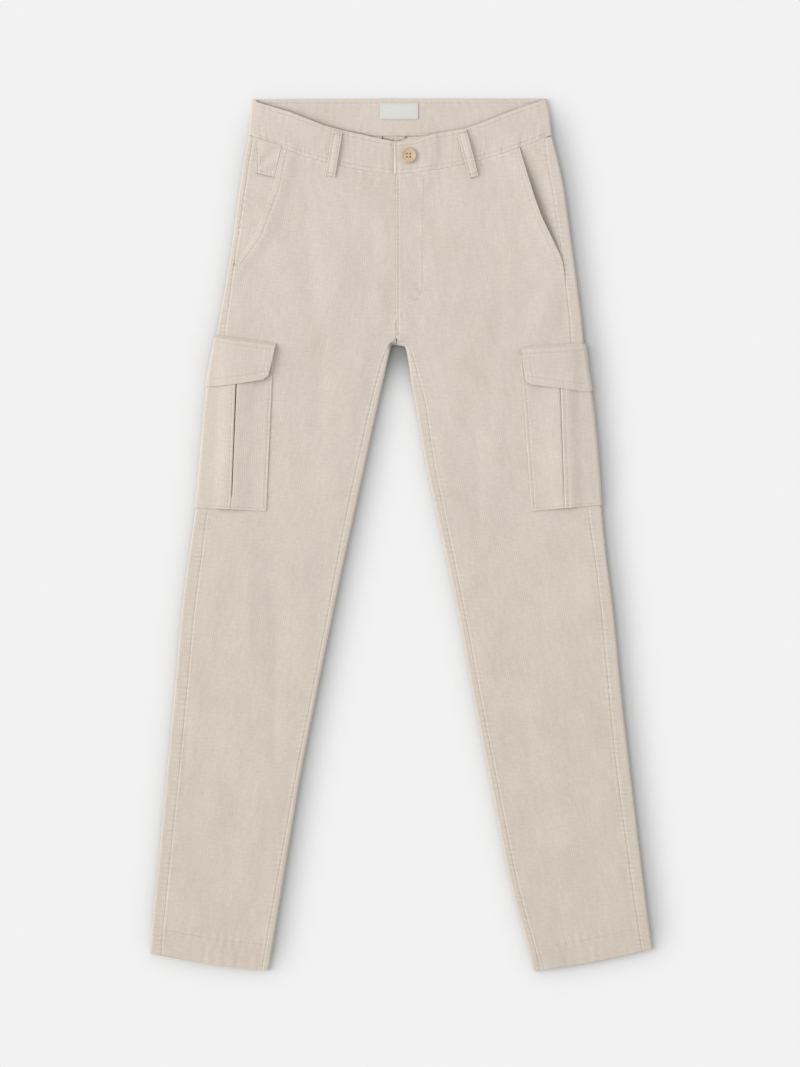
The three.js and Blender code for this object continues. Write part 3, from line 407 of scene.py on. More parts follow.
def clothWall(name, grids):
    # each grid is its outer face, inner face, grain and relief; the grids are joined where they meet
    faces = np.concatenate([grid[0].reshape(-1, 3) for grid in grids])
    backs = np.concatenate([grid[1].reshape(-1, 3) for grid in grids])
    grains = np.concatenate([grid[2].reshape(-1, 2) for grid in grids])
    reliefs = np.concatenate([grid[3].ravel() for grid in grids])
    squares = []
    count = 0
    for face, *_ in grids:
        number = count + np.arange(face.shape[0] * face.shape[1]).reshape(face.shape[:2])
        corners = [number[:-1, :-1], number[1:, :-1], number[1:, 1:], number[:-1, 1:]]
        squares.append(np.stack(corners, -1).reshape(-1, 4))
        count += number.size
    squares = np.concatenate(squares)
    keys = np.round(faces * 50).astype(int)
    _, kept, merged = np.unique(keys, axis=0, return_index=True, return_inverse=True)
    squares = merged.reshape(-1)[squares]
    faces, backs, grains, reliefs = faces[kept], backs[kept], grains[kept], reliefs[kept]
    whole = np.array([len(set(square)) == 4 for square in squares.tolist()])
    squares = squares[whole]
    edges = np.concatenate([squares[:, [i, (i + 1) % 4]] for i in range(4)])
    ways = {tuple(edge) for edge in edges.tolist()}
    rim = np.array([edge for edge in edges.tolist() if (edge[1], edge[0]) not in ways])
    total = len(faces)
    rimSquares = np.stack([rim[:, 0], rim[:, 0] + total, rim[:, 1] + total, rim[:, 1]], 1)
    polygons = np.concatenate([squares, squares[:, ::-1] + total, rimSquares])
    points = np.concatenate([faces, backs])
    a, b, c, d = (points[polygons[:, i]] for i in range(4))
    volume = (a * np.cross(b, c)).sum() + (a * np.cross(c, d)).sum()
    if volume < 0:
        polygons = polygons[:, ::-1]
    mesh = newMesh(name, points, polygons.tolist())
    layer = mesh.uv_layers.new(name="grain")
    loopPoints = np.zeros(len(mesh.loops), int)
    mesh.loops.foreach_get("vertex_index", loopPoints)
    layer.data.foreach_set("uv", (np.concatenate([grains, grains])[loopPoints] / 1000).ravel())
    # The relief attribute also sets the cloth's brightness: painted shade in grooves and marked places,
    # painted light on ridges
    mark = mesh.attributes.new("relief", "FLOAT", "POINT")
    mark.data.foreach_set("value", np.concatenate([reliefs, reliefs]))
    piece = newPiece(name, mesh)
    choose(piece)
    bpy.ops.object.shade_smooth_by_angle(angle=math.radians(55))
    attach(piece, "root")
    return piece


def acrossArc(face, column, start):  # grain across a strip, measured round its bends from one column
    steps = np.linalg.norm(np.diff(face, axis=1), axis=2)
    arc = np.concatenate([np.zeros((len(face), 1)), np.cumsum(steps, 1)], 1)
    return arc - arc[:, column][:, None] + start[:, None]


# Front panels
# Painted light: cloth beside each seam is drawn brighter against the shade of the seam's gap, together with
# the paler rubbed edge of the seam
seamLight = 0.55
# Painted shade at the crotch folds, on the front panels and the edge strips
crotchPaintedShade = {"front": 1, "frontWidth": 4.5, "strip": 3.4, "stripWidth": 7}
underCargo = {"top": 296, "stripTop": 292, "fade": 8, "foot": 500, "footFade": 6, "width": 95}
frontCloth = {"rowStep": 2.1, "columnStep": 4.2, "width": 165, "edgeRadius": 0.28, "searchEnd": 0.6}


def beneathCargo(down, top):  # 1 where a cargo pocket lies on the cloth, so that it stays smooth there
    above = 1 - smooth((down - underCargo["foot"]) / underCargo["footFade"])
    return smooth((down - top) / underCargo["fade"]) * above


def rowSpots(ends, shares):  # places along each row, from the outer end to the inner one
    outer, inner, bow = ends
    spots = mix(outer[:, None, :], inner[:, None, :], shares[..., None])
    spots[..., 1] += 4 * bow[:, None] * shares * (1 - shares)
    return spots


def frontEnds(rows):
    outer = rows["outer"] - rows["normal"] * (rows["seam"] + gaps["seam"] / 2)[:, None]
    return outer, rows["frontEnd"], rows["frontBow"]


def slantShares(side, rows, ends):  # the share of each hip row at which the slant edge crosses it
    low = np.zeros(len(rows["at"]))
    high = low + frontCloth["searchEnd"]

    def past(share):
        return pastSlant(side, rowSpots(ends, share[:, None])[:, 0])

    closed = past(low) > 0
    for _ in range(30):
        middle = (low + high) / 2
        inside = past(middle) > 0
        high = np.where(inside, middle, high)
        low = np.where(inside, low, middle)
    return np.where(closed | rows["onLeg"], 0, high)


def sideStations(side, step):
    hipLength = hipSections[side][-1][1] - hipSections[side][0][1]
    hipDown = hipSections[side][0][1] + hipLength * fineEnds(hipLength, step, atEnd=False)[:-1]
    hipAt = spacedRows(hipSections[side], 0, 7, hipDown)
    first = legSections[side][0][1]
    hem = legSections[side][hemRow][1]
    last = legSections[side][-1][1]
    aboveHem = np.linspace(first, hem, int((hem - first) / step) + 1)[:-1]
    below = hem + (last - hem) * fineEnds(last - hem, step * 0.8, atStart=False)
    return hipAt, spacedRows(legSections[side], 0, 16, np.concatenate([aboveHem, below]))


def frontPanel(side):
    hipAt, legAt = sideStations(side, frontCloth["rowStep"])
    rows = sideRows(side, hipAt, legAt)
    ends = frontEnds(rows)
    start = slantShares(side, rows, ends)
    lapShare = rows["lap"] / (ends[0][:, 0] - ends[1][:, 0])
    columns = fineEnds(frontCloth["width"], frontCloth["columnStep"])
    shares = mix(start[:, None], 1 + lapShare[:, None], columns[None, :])
    spots = rowSpots(ends, shares)
    top = frontTop(side, spots)
    along = spots[..., 1]
    fromOuter = away(spots, spots[:, :1])
    fromInner = away(spots, spots[:, -1:])
    fromTop = away(spots, spots[:1])
    fromFoot = away(spots, spots[-1:])
    hemIndex = len(hipAt) + int(np.argmin(np.abs(legAt - hemRow)))
    fromHem = away(spots, spots[hemIndex])
    underPocket = beneathCargo(along, underCargo["top"]) * (fromOuter < underCargo["width"])
    onSlant = 1 - smooth((along - slant["foot"] + 4) / 8)
    grain = grainOf(side, spots)
    relief = waviness(side, spots, 0.7 if side == "right" else 2.9)
    sideSeam = stitchRelief(fromOuter, along, seamLook, 1.1) * (1 - onSlant)
    relief += sideSeam + stitchRelief(fromOuter - slant["stitch"], along, topstitchLook, 0.4) * onSlant
    relief += 0.16 * ripple(along, 4.6, 2.2) * bell(fromOuter - 3, 3) * onSlant
    relief += stitchRelief(fromTop, grain[..., 0], seamLook, 3.3)
    relief += stitchRelief(fromHem, grain[..., 0], hemLook, 0.9)
    relief += 0.22 * ripple(grain[..., 0], 13, 1.9) * smooth(fromHem / 6) * bell(fromFoot, 26)
    inseam = stitchRelief(fromInner, along, seamLook, 2.6)
    if side == "left":
        inseam *= smooth((along - 290) / 12)
        byFly = 1 - smooth((along - 288) / 8)
        relief += stitchRelief(fromInner - fly["stitch"], along, topstitchLook, 1.4) * byFly
        relief += stitchRelief(distanceToLine(flyStitch, spots), along, topstitchLook, 2.4)
    relief += inseam
    flat = np.stack([spots[..., 0] * sides[side], along], -1)
    for line in crotchFolds:
        relief -= 0.5 * bell(distanceToLine(line, flat), 1.3)
    top = top + relief * (1 - underPocket)
    # painted shade at the crotch folds
    relief -= crotchPaintedShade["front"] * bell(away(flat, crotchFolds[1][0]), crotchPaintedShade["frontWidth"])
    radius = frontCloth["edgeRadius"]
    drop = edgeDrop(least(fromOuter, fromInner, fromTop, fromFoot), radius)
    deep = mix(walls["cloth"], walls["hem"], smooth((along - along[hemIndex]) / 2 + 0.5))
    face = place(side, spots, top - drop)
    back = place(side, spots, top - deep + drop)
    # painted light beside the seams
    relief += seamLight * bell(least(fromOuter, fromInner, fromTop), 1)
    return clothWall("front" + side.capitalize(), [(face, back, grain, relief * (1 - underPocket))])


# Back panels: the lower layer, rolled round both edges of its leg to the seams on top
backCloth = {"rowStep": 1.7, "edgeRadius": 0.28, "ladder": 0.26, "ladderPitch": 4.7, "underColumns": 9,
             "stripStep": 1.9, "stripWidth": 12, "edgeWave": 0.22}


def stripSpots(spot, normal, width):  # on top, from the roll to the seam
    shares = fineEnds(backCloth["stripWidth"], backCloth["stripStep"], atStart=False, atEnd=False)[1:]
    edge = np.array([0.86, 0.93, 0.97, 0.99, 1])
    shares = np.concatenate([shares[shares < 0.8], edge])
    inwards = mix(roll["radius"], (width - gaps["seam"] / 2)[:, None], shares[None, :])
    return spot[:, None, :] - normal[:, None, :] * inwards[..., None]


def edgeStrip(side, spot, normal, width, wall, seed):
    # the roll from underneath and the strip on top, as outer face, inner face and grain
    wave = backCloth["edgeWave"] * ripple(spot[:, 1], 8.5, seed)
    degrees = np.linspace(-90, 90, roll["steps"] + 1)
    rollFace, rollTop = rolledSpots(spot, normal, 0, degrees)
    rollBack, backTop = rolledSpots(spot, normal, -1, degrees)
    inner = (rollBack - rollFace) * wall[:, None, None]
    innerTop = (backTop - rollTop) * wall[:, None]
    bulge = (wave[:, None] * np.cos(np.radians(degrees))[None, :])[..., None] * normal[:, None, :]
    strip = stripSpots(spot, normal, width)
    fromSeam = away(strip, strip[:, -1:])
    underPocket = beneathCargo(strip[..., 1], underCargo["stripTop"])
    ladder = backCloth["ladder"] * ripple(strip[..., 1], backCloth["ladderPitch"], seed)
    relief = stitchRelief(fromSeam, strip[..., 1], seamLook, seed) + ladder * smooth(fromSeam / 3)
    if width.mean() < 10:
        underPocket = underPocket * 0
    ease = smooth((width - roll["radius"])[:, None] * 0.25)
    relief = relief * (1 - underPocket) * smooth(away(strip, strip[:, :1]) / 3 + 0.2)
    top = clothTop(side, strip) + relief * ease
    drop = edgeDrop(fromSeam, backCloth["edgeRadius"])
    face = np.concatenate([place(side, rollFace + bulge, rollTop), place(side, strip, top - drop)], 1)
    under = top - wall[:, None] + drop
    back = np.concatenate(
        [place(side, rollFace + bulge + inner, rollTop + innerTop), place(side, strip, under)], 1)
    arc = acrossArc(face, -1, grainOf(side, strip[:, -1])[:, 0])
    grain = np.stack([arc, np.broadcast_to(spot[:, 1:2], arc.shape)], -1)
    # painted light beside the seam
    mark = np.concatenate([0 * rollTop, relief * ease + seamLight * bell(fromSeam, 1)], 1)
    flat = np.concatenate([rollFace, strip], 1) * np.array([sides[side], 1])
    # painted shade at the crotch
    mark -= crotchPaintedShade["strip"] * bell(away(flat, crotchFolds[0][0]), crotchPaintedShade["stripWidth"])
    return face, back, grain, mark


def backPanel(side):
    hipAt, legAt = sideStations(side, backCloth["rowStep"])
    rows = sideRows(side, hipAt, legAt)
    hems = smooth((rows["at"] - hemRow) * 16 + 0.5) * rows["onLeg"]
    wall = mix(walls["cloth"], walls["hem"], hems)
    outer = edgeStrip(side, rows["outer"], rows["normal"], rows["seam"], wall, 1.1)
    end = rows["outer"] - rows["normal"] * roll["radius"]
    shares = np.linspace(0, 1, backCloth["underColumns"] + 1)[:-1]
    under = rowSpots((rows["backEnd"], end, rows["backBow"]), np.tile(shares, (len(end), 1)))
    flat = np.zeros(under.shape[:2])
    face = np.concatenate([place(side, under, flat), outer[0]], 1)
    back = np.concatenate([place(side, under, flat + wall[:, None]), outer[1]], 1)
    arc = acrossArc(face, -1, outer[2][:, -1, 0])
    grain = np.stack([arc, np.broadcast_to(rows["outer"][:, 1:2], arc.shape)], -1)
    legWall = wall[rows["onLeg"]]
    inner = edgeStrip(side, rows["inner"], rows["innerNormal"], rows["strip"], legWall, 2.6)
    inseam = [part[:, ::-1] for part in inner]
    relief = np.concatenate([flat, outer[3]], 1)
    return clothWall("back" + side.capitalize(), [(face, back, grain, relief), inseam])


# Hip facings: inside the slant pockets, under the front panels
facing = {"lastRow": 3.9, "taperRow": 2.5, "footTaper": 0.8, "rowStep": 3, "columns": 26}


def hipFacing(side):
    mouth = slantMouths[side]
    count = int((hipSections[side][4][1] - hipSections[side][0][1]) / facing["rowStep"])
    at = facing["lastRow"] * fineEnds(150, 150 / count, atEnd=False)
    rows = sideRows(side, at, np.zeros(1))
    rows = {key: value[: len(at)] for key, value in rows.items()}
    ends = frontEnds(rows)
    width = ends[0][:, 0] - ends[1][:, 0]
    taperRows = facing["lastRow"] - facing["taperRow"]
    taper = 1 - facing["footTaper"] * smooth((at - facing["taperRow"]) / taperRows)
    reach = slantShares(side, rows, ends) + mouth["under"] * taper / width
    columns = np.linspace(0, 1, facing["columns"])
    spots = rowSpots(ends, reach[:, None] * columns[None, :])
    along = (spots[..., 1] - slant["top"]) / (slant["foot"] - slant["top"])
    sink = mouth["sink"] * np.sin(np.pi * np.clip(along, 0, 1)) * smooth(3 * columns)[None, :]
    fromSeam = away(spots, spots[:, :1])
    fromTop = away(spots, spots[:1])
    inward = pastSlant(side, spots)
    under = smooth((2 - inward) / 4)
    relief = stitchRelief(fromSeam, spots[..., 1], seamLook, 1.1)
    relief += stitchRelief(fromTop, spots[..., 0], seamLook, 1.2)
    relief += 0.6 * waviness(side, spots, 5.2)
    top = clothTop(side, spots, False) - sink + relief * under
    drop = edgeDrop(np.minimum(fromSeam, fromTop), backCloth["edgeRadius"])
    face = place(side, spots, top - drop)
    back = place(side, spots, top - walls["cloth"] + drop)
    # painted light beside the seams
    relief += seamLight * bell(np.minimum(fromSeam, fromTop), 1)
    # painted shade on the facing inside the gaping pocket mouth
    mark = relief - mouth["shade"] * bell(inward, 7) * np.sin(np.pi * np.clip(along, 0, 1))
    return clothWall("hipFacing" + side.capitalize(), [(face, back, grainOf(side, spots), mark)])


# Waistband halves
bandTops = {  # out, down
    "right": [(-37.5, 46), (-10.5, 48), (1.5, 53.5), (7.5, 53.5), (26, 50), (50, 44.5), (72, 40),
              (92.5, 34.5), (135, 18), (160, 10.5), (174, 6)],
    "left": [(-8.6, 58), (-7.4, 55.4), (-4.5, 54), (7, 53), (23, 50), (41, 44), (55, 41.5), (66, 39.8),
             (78.5, 37.5), (100, 30), (120, 22), (145, 12.5), (168.5, 4.5)],
}
bandEdges = {  # down, out
    "right": [(2, 181.5), (46.5, 185)],
    "left": [(1, 175.5), (17, 179.5), (47, 183)],
}
band = {"backTop": 1, "backFoot": 46.45, "puff": 0.3, "lapEnd": 38, "lapFade": 14, "columnStep": 2.6,
        "rowStep": 1.7, "centreBack": {"right": 10.5, "left": -10.5}, "stitch": 5.2,
        "gape": {"right": 3.2, "left": 0.5}, "contact": 1.7, "shade": {"right": 2.4, "left": 1.1}}
bandLift = walls["band"] + 0.3


def waistSeam(side, out):  # how far down the seam below the waistband runs
    out = np.asarray(out, float)
    other = "left" if side == "right" else "right"
    result = np.zeros(out.shape)
    for name, across, mask in ((side, out, out >= hipCentre[side]), (other, -out, out < hipCentre[side])):
        rows = sideRows(name, np.zeros(1), np.zeros(1))
        outer, inner, bow = (value[0] for value in frontEnds(rows))
        share = np.clip((outer[0] - across) / (outer[0] - inner[0]), 0, 1)
        down = mix(outer[1], inner[1], share) + 4 * bow * share * (1 - share)
        result = np.where(mask, down, result)
    return result


def bandTop(side, out, share):  # at its foot it lies as high as the cloth below it
    lift = bandLift * (1 - smooth((out - band["lapEnd"]) / band["lapFade"])) if side == "left" else 0
    spots = np.stack(np.broadcast_arrays(out, waistSeam(side, out)), -1)
    onFront = smooth((pastSlant(side, spots) + 1) / 3)
    foot = mix(clothTop(side, spots, False), frontTop(side, spots, False), onFront) - roll["height"]
    foot = np.where(spots[..., 0] < hipCentre[side] + 4, lift, foot)
    gape = band["gape"][side] * bell(out - 120, 52) * bell(share, 0.35)
    ease = smooth((share - 0.5) / 0.5)
    return roll["height"] + band["puff"] * np.sin(np.pi * share) + mix(lift, foot, ease) + gape


def besideFront(x, down):  # 1 just above the upper edge of the front waistband, where a painted contact shadow falls
    onLeft = x > -bandTops["left"][0][0] * sides["right"]
    edge = np.where(onLeft, readLine(bandTops["left"], x), readLine(bandTops["right"], -x))
    return bell(edge - down - 0.6, band["contact"])


def waistTop(side, spots):  # the waistband or the front panel below it
    seam = waistSeam(side, spots[..., 0])
    top = readLine(bandTops[side], spots[..., 0])
    onBand = bandTop(side, spots[..., 0], (spots[..., 1] - top) / (seam - top))
    return np.where(spots[..., 1] < seam, onBand, frontTop(side, spots, False))


# What marks the waistband's outside: the loops press it flat and the button dents it
bandMarks = {"endStitch": 3.6, "loop": {"right": 81, "left": 80}, "loopReach": 9, "loopPress": 0.8,
             "button": (9, 71), "buttonReach": 12, "dent": 0.25, "bow": (-2, 76), "bowRadius": 27,
             "bowFrom": 16, "buttonhole": [(9, 57.5), (9, 63)], "lapFrom": 6, "lapFold": 10}
insideMarks = {"footStitch": 3.5, "label": -2.5, "labelReach": 30, "labelFade": 6, "labelTop": 5}


def bandRelief(side, spots, fromTop, fromFoot, fromEnd):  # stitching and puckers of the outside
    out, down = spots[..., 0], spots[..., 1]
    relief = 0.3 * ripple(out + 0.18 * fromTop, 7.5, 0.8) * bell(fromFoot, 22)
    relief += 0.27 * ripple(out - 0.12 * fromTop, 9, 2.7) * bell(fromTop, 16)
    relief *= smooth(fromTop / 3) * smooth(fromFoot / 2.5)
    relief += stitchRelief(fromTop - band["stitch"], out, topstitchLook, 0.2)
    relief += stitchRelief(fromFoot - band["stitch"], out, topstitchLook, 1.2)
    if side == "left":
        relief += stitchRelief(fromEnd - bandMarks["endStitch"], down, topstitchLook, 2.2)
        relief += 0.4 * bell(fromEnd - 1.3, 0.9) + 0.3 * bell(fromEnd - 6, 1.2)
        aroundButton = bell(away(spots, bandMarks["button"]), bandMarks["buttonReach"])
        relief = relief * (1 - aroundButton) - bandMarks["dent"] * aroundButton
        bow = bell(away(spots, bandMarks["bow"]) - bandMarks["bowRadius"], 3)
        relief += 0.35 * bow * (out > bandMarks["bowFrom"]) * smooth(fromTop / 4)
        relief -= 0.5 * bell(distanceToLine(bandMarks["buttonhole"], spots), 0.9)
    else:
        relief *= smooth((out - bandMarks["lapFrom"]) / 5)
        relief -= 0.9 * bell(out - bandMarks["lapFold"], 1.5)
    underLoop = bell(out - bandMarks["loop"][side], bandMarks["loopReach"])
    return relief * (1 - bandMarks["loopPress"] * underLoop)


def bandOutside(side, shares):  # from the centre front to the side: outer face, inner face and relief
    first, last = bandTops[side][0][0], bandTops[side][-1][0]
    knots = np.array([row[0] for row in bandTops[side]], float)
    across = first + (last - first) * fineEnds(last - first, band["columnStep"], atEnd=False)
    across = np.unique(np.concatenate([across, knots]))
    seam = waistSeam(side, across) - gaps["band"]
    topLine = readLine(bandTops[side], across)
    spots = np.stack([np.broadcast_to(across, (len(shares), len(across))),
                      mix(topLine[None, :], seam[None, :], shares[:, None])], -1)
    fromTop = spots[..., 1] - topLine[None, :]
    fromFoot = seam[None, :] - spots[..., 1]
    fromEnd = np.abs(spots[..., 0] - first)
    relief = bandRelief(side, spots, fromTop, fromFoot, fromEnd)
    top = bandTop(side, spots[..., 0], shares[:, None]) + relief
    drop = edgeDrop(least(fromTop, fromFoot, fromEnd), 0.6)
    face = place(side, spots, top - drop)
    back = place(side, spots, top - walls["band"] + drop)
    # painted light beside the waist seam
    return face, back, relief + seamLight * bell(fromFoot, 1)


def bandRim(side, shares):  # the roll at the side
    down = mix(bandEdges[side][0][0], band["backFoot"], shares)
    edge = np.stack([readLine(bandEdges[side], down), down], 1)
    normal = np.tile([1.0, 0.0], (len(down), 1))
    degrees = np.linspace(90, -90, roll["steps"] + 1)
    rimDrop = np.maximum(edgeDrop(down - down[0], 0.9), edgeDrop(band["backFoot"] - down, 0.3))[:, None]
    rollFace, rollTop = rolledSpots(edge, normal, 0, degrees)
    rollBack, backTop = rolledSpots(edge, normal, -walls["band"], degrees)
    tuck = (rollBack - rollFace) / walls["band"] * rimDrop[..., None]
    tuckTop = (backTop - rollTop) / walls["band"] * rimDrop
    face = place(side, rollFace + tuck, rollTop + tuckTop)
    return face, place(side, rollBack - tuck, backTop - tuckTop), 0 * rollTop


def bandInside(side, shares):  # the back half, its inside uppermost
    edgeTop = bandEdges[side][0][0]
    edge = readLine(bandEdges[side], mix(edgeTop, band["backFoot"], shares))[:, None]
    columns = np.linspace(0, 1, 60)[1:]
    outs = mix(edge - roll["radius"], band["centreBack"][side] + gaps["seam"] / 2, columns[None, :])
    topHere = mix(edgeTop, band["backTop"], columns)[None, :]
    downs = mix(topHere, band["backFoot"], shares[:, None])
    fromTop = downs - topHere
    fromFoot = band["backFoot"] - downs
    drop = np.maximum(edgeDrop(fromTop, 0.9), edgeDrop(fromFoot, 0.3))
    relief = stitchRelief(fromTop - band["stitch"], outs, topstitchLook, 3.2)
    relief += stitchRelief(fromFoot - insideMarks["footStitch"], outs, topstitchLook, 4.4)
    relief += 0.2 * ripple(outs + 0.1 * downs, 10.5, 1.3) * bell(fromFoot, 26)
    relief += stitchRelief(np.abs(outs - band["centreBack"][side]), downs, topstitchLook, 0.3)
    fromLabel = np.abs(outs * sides[side] - insideMarks["label"])
    underLabel = smooth((insideMarks["labelReach"] - fromLabel) / insideMarks["labelFade"])
    relief *= (1 - underLabel * (downs > insideMarks["labelTop"])) * smooth((edge - outs) / 8 - 0.4)
    spots = np.stack([outs, downs], -1)
    face = place(side, spots, drop)
    back = place(side, spots, walls["band"] - drop + relief)
    # painted contact shadow below the front waistband's upper edge
    return face, back, relief - band["shade"][side] * besideFront(outs * sides[side], downs)


def waistband(side):
    shares = fineEnds(44, band["rowStep"])
    parts = [bandOutside(side, shares), bandRim(side, shares), bandInside(side, shares)]
    face, back, relief = [np.concatenate(part, 1) for part in zip(*parts)]
    arc = acrossArc(face, 0, np.full(len(shares), float(bandTops[side][0][0])))
    grain = np.stack([arc, face[..., 1]], -1)
    return clothWall("waistband" + side.capitalize(), [(face, back, grain, relief)])


# Cargo pockets with a stitched pleat, and their flaps
cargo = {
    "right": {
        "front": [(154.8, 309.5), (163.5, 502)],
        "slit": [(200, 305), (207.4, 500)],
        "outerDown": (300.5, 497.5),
        "flapFront": [(298.5, 151.5), (318, 155.5), (336.5, 160), (342.5, 163.5)],
        "flapTop": (298.5, 288.5),
        "flapFoot": [(163.5, 342.5), (199.5, 348), (225, 351), (240, 351.5)],
    },
    "left": {
        "front": [(144.5, 313), (158, 502)],
        "slit": [(192.5, 309), (199.2, 499)],
        "outerDown": (307.5, 494.5),
        "flapFront": [(303.5, 144.8), (325, 147.5), (344, 150.5), (348.5, 153.5)],
        "flapTop": (303.5, 298.5),
        "flapFoot": [(153.5, 348.5), (194, 353.5), (219, 357), (235, 355)],
    },
}
pleat = {"lift": gaps["lay"] + walls["pocket"] / 2, "ply": walls["pocket"] + gaps["lay"], "depth": 7,
         "turnSteps": 6, "rollEnd": -36, "approach": 3.4, "inside": 4.6, "fallSteps": 12, "foldColumns": 18,
         "gape": {"right": (2.6, 2), "left": (1.6, 1.4)}}
flap = {"lift": gaps["lay"] + walls["flap"] / 2, "rollEnd": -20, "gape": {"right": 2, "left": 0.3}}
flap["overPocket"] = walls["pocket"] + gaps["lay"] + flap["lift"]
flapRise = [(-60, 1.3), (-30, 1.9), (-14, 2.5), (0, 2.75), (pleat["depth"] + 3, 2.7),
            (pleat["depth"] + 8, 2.2), (pleat["depth"] + 13, 1.2), (pleat["depth"] + 19, 0)]


def outerAt(side, down):  # the outline's outer edge at a distance down
    down = np.atleast_1d(np.asarray(down, float))
    spots = np.zeros((len(down), 2))
    normals = np.zeros((len(down), 2))
    onLeg = down >= legSections[side][0][1]
    for table, last, mask in ((hipSections, 7, ~onLeg), (legSections, 16, onLeg)):
        if mask.any():
            at = spacedRows(table[side], 0, last, down[mask])
            spots[mask], normals[mask] = edgePlaces(table[side], at, [0, 1], 1)
    return spots, normals


def pleatPath(reach, gape):  # past the slit, and lift above the leg's cloth, of the middle of the cloth
    rising = -reach * (1 - fineEnds(40, 2.6, atEnd=False))[:-1]
    flat = np.concatenate([rising, [-8, -5, -pleat["approach"]]])
    flat = flat[flat <= -pleat["approach"]]
    level = 1.7 * pleat["ply"]
    path = [(past, pleat["lift"] + level * (1 - smooth(-(past + pleat["approach"]) / 26)))
            for past in np.unique(flat)]
    path += [(past - gape, pleat["lift"] + level * share) for past, share in
             ((-0.5, 0.96), (-0.2, 0.72), (0, 0.25), (0.35, 0))]
    path += [(past, pleat["lift"]) for past in (0.5, 3, pleat["depth"] - 1.5, pleat["depth"])]
    radius = pleat["ply"] / 2
    for centre, low, way in ((pleat["depth"], pleat["lift"], 1), (0, pleat["lift"] + pleat["ply"], -1)):
        if way < 0:
            path += [(pleat["depth"] / 2, low), (0, low)]
        for i in range(1, pleat["turnSteps"] + 1):
            angle = math.pi * (i / pleat["turnSteps"] - 0.5)
            path.append((centre + way * radius * math.cos(angle), low + radius + radius * math.sin(angle)))
    high = pleat["lift"] + 2 * pleat["ply"]
    falls = [(0.8, 1), (1.8, 1), (3, 1), (5, 0.99), (9, 0.95), (11, 0.84), (13, 0.67), (15, 0.49),
             (17, 0.32), (19, 0.17), (21.5, 0.05), (24, 0)]
    path += [(past, mix(pleat["lift"], high, share)) for past, share in falls]
    return np.array(path)


def cargoPocket(side):
    sizes = cargo[side]
    share = fineEnds(190, 2.5)
    front = np.array([mix(sizes["front"][0][i], sizes["front"][1][i], share) for i in (0, 1)]).T
    slitOut = mix(sizes["slit"][0][0], sizes["slit"][1][0], share)
    spot, normal = outerAt(side, mix(*sizes["outerDown"], share))
    rollTop = spot - normal * roll["radius"]
    reach = slitOut - front[:, 0]
    gapes = mix(*pleat["gape"][side], share) * (1 - 0.85 * smooth((share - 0.9) / 0.05))
    paths = np.array([pleatPath(value, gape) for value, gape in zip(reach, gapes)])
    step = np.diff(paths, axis=1)
    before = np.concatenate([step[:, :1], step], 1)
    after = np.concatenate([step, step[:, -1:]], 1)
    run = before / np.linalg.norm(before, axis=2, keepdims=True)
    run = run + after / np.linalg.norm(after, axis=2, keepdims=True)
    run /= np.linalg.norm(run, axis=2, keepdims=True)
    square = np.stack([-run[..., 1], run[..., 0]], -1)

    def grid(lift):
        outs = slitOut[:, None] + paths[..., 0] + square[..., 0] * lift
        slope = (rollTop[:, 1] - front[:, 1]) / (rollTop[:, 0] - front[:, 0])
        downs = front[:, 1][:, None] + (outs - front[:, :1]) * slope[:, None]
        spots = np.stack([outs, downs], -1)
        return spots, paths[..., 1] + square[..., 1] * lift

    half = walls["pocket"] / 2
    faceSpots, faceLift = grid(half)
    backSpots, backLift = grid(-half)
    base = clothTop(side, faceSpots)
    fromFront = away(faceSpots, faceSpots[:, :1])
    length = np.linalg.norm(front[-1] - front[0])
    fromTop = (share * length)[:, None]
    fromFoot = ((1 - share) * length)[:, None]
    pastSlit = paths[..., 0]
    relief = stitchRelief(fromFront - 3.6, faceSpots[..., 1], topstitchLook, 0.5)
    relief += stitchRelief(fromFoot - 3, faceSpots[..., 0], topstitchLook, 2.5)
    relief += stitchRelief(pastSlit - 3.2, faceSpots[..., 1], topstitchLook, 3.5) * (faceLift > 2.6)
    relief += 0.5 * waviness(side, faceSpots, 4.1)
    relief += 0.12 * bell(faceSpots[..., 1] - mix(front[0, 1], front[-1, 1], 0.62) - 0.2 * fromFront, 9)
    openly = np.ones(len(paths[0]))
    folded = len(openly) - pleat["fallSteps"] - pleat["turnSteps"] // 2
    openly[folded - pleat["foldColumns"] + 1:folded] = 0
    relief = relief * openly[None, :]
    slitOpen = 0.5 * np.sin(np.pi * share) * smooth((share - 0.2) / 0.1)
    gapeHere = slitOpen[:, None] * bell(pastSlit + 0.5, 6) * (faceLift > 2.2)
    drop = edgeDrop(least(fromFront, fromTop, fromFoot), half * 0.95)
    face = place(side, faceSpots, base + faceLift + relief + gapeHere - drop)
    back = place(side, backSpots, base + backLift + relief * 0.5 + gapeHere + drop)

    degrees = np.linspace(90, pleat["rollEnd"], roll["steps"] + 1)
    over = pleat["lift"] + half
    rollFace, rollZ = rolledSpots(spot, normal, over, degrees)
    rollBack, backZ = rolledSpots(spot, normal, over - walls["pocket"], degrees)
    tuck = edgeDrop(np.minimum(fromTop, fromFoot), half * 0.95)
    inward = (rollBack - rollFace) / walls["pocket"] * tuck[..., None]
    inwardZ = (backZ - rollZ) / walls["pocket"] * tuck
    face = np.concatenate([face, place(side, rollFace + inward, rollZ + inwardZ)], 1)
    back = np.concatenate([back, place(side, rollBack - inward, backZ - inwardZ)], 1)
    arc = acrossArc(face, 0, np.zeros(len(share)))
    grain = np.stack([arc, -face[..., 1]], -1)
    # painted shade: the hidden folds inside the pleat are drawn dark, where its slit lies in shade
    relief = np.concatenate([relief - pleat["inside"] * (1 - openly)[None, :], 0 * rollZ], 1)
    return clothWall("cargoPocket" + side.capitalize(), [(face, back, grain, relief)])


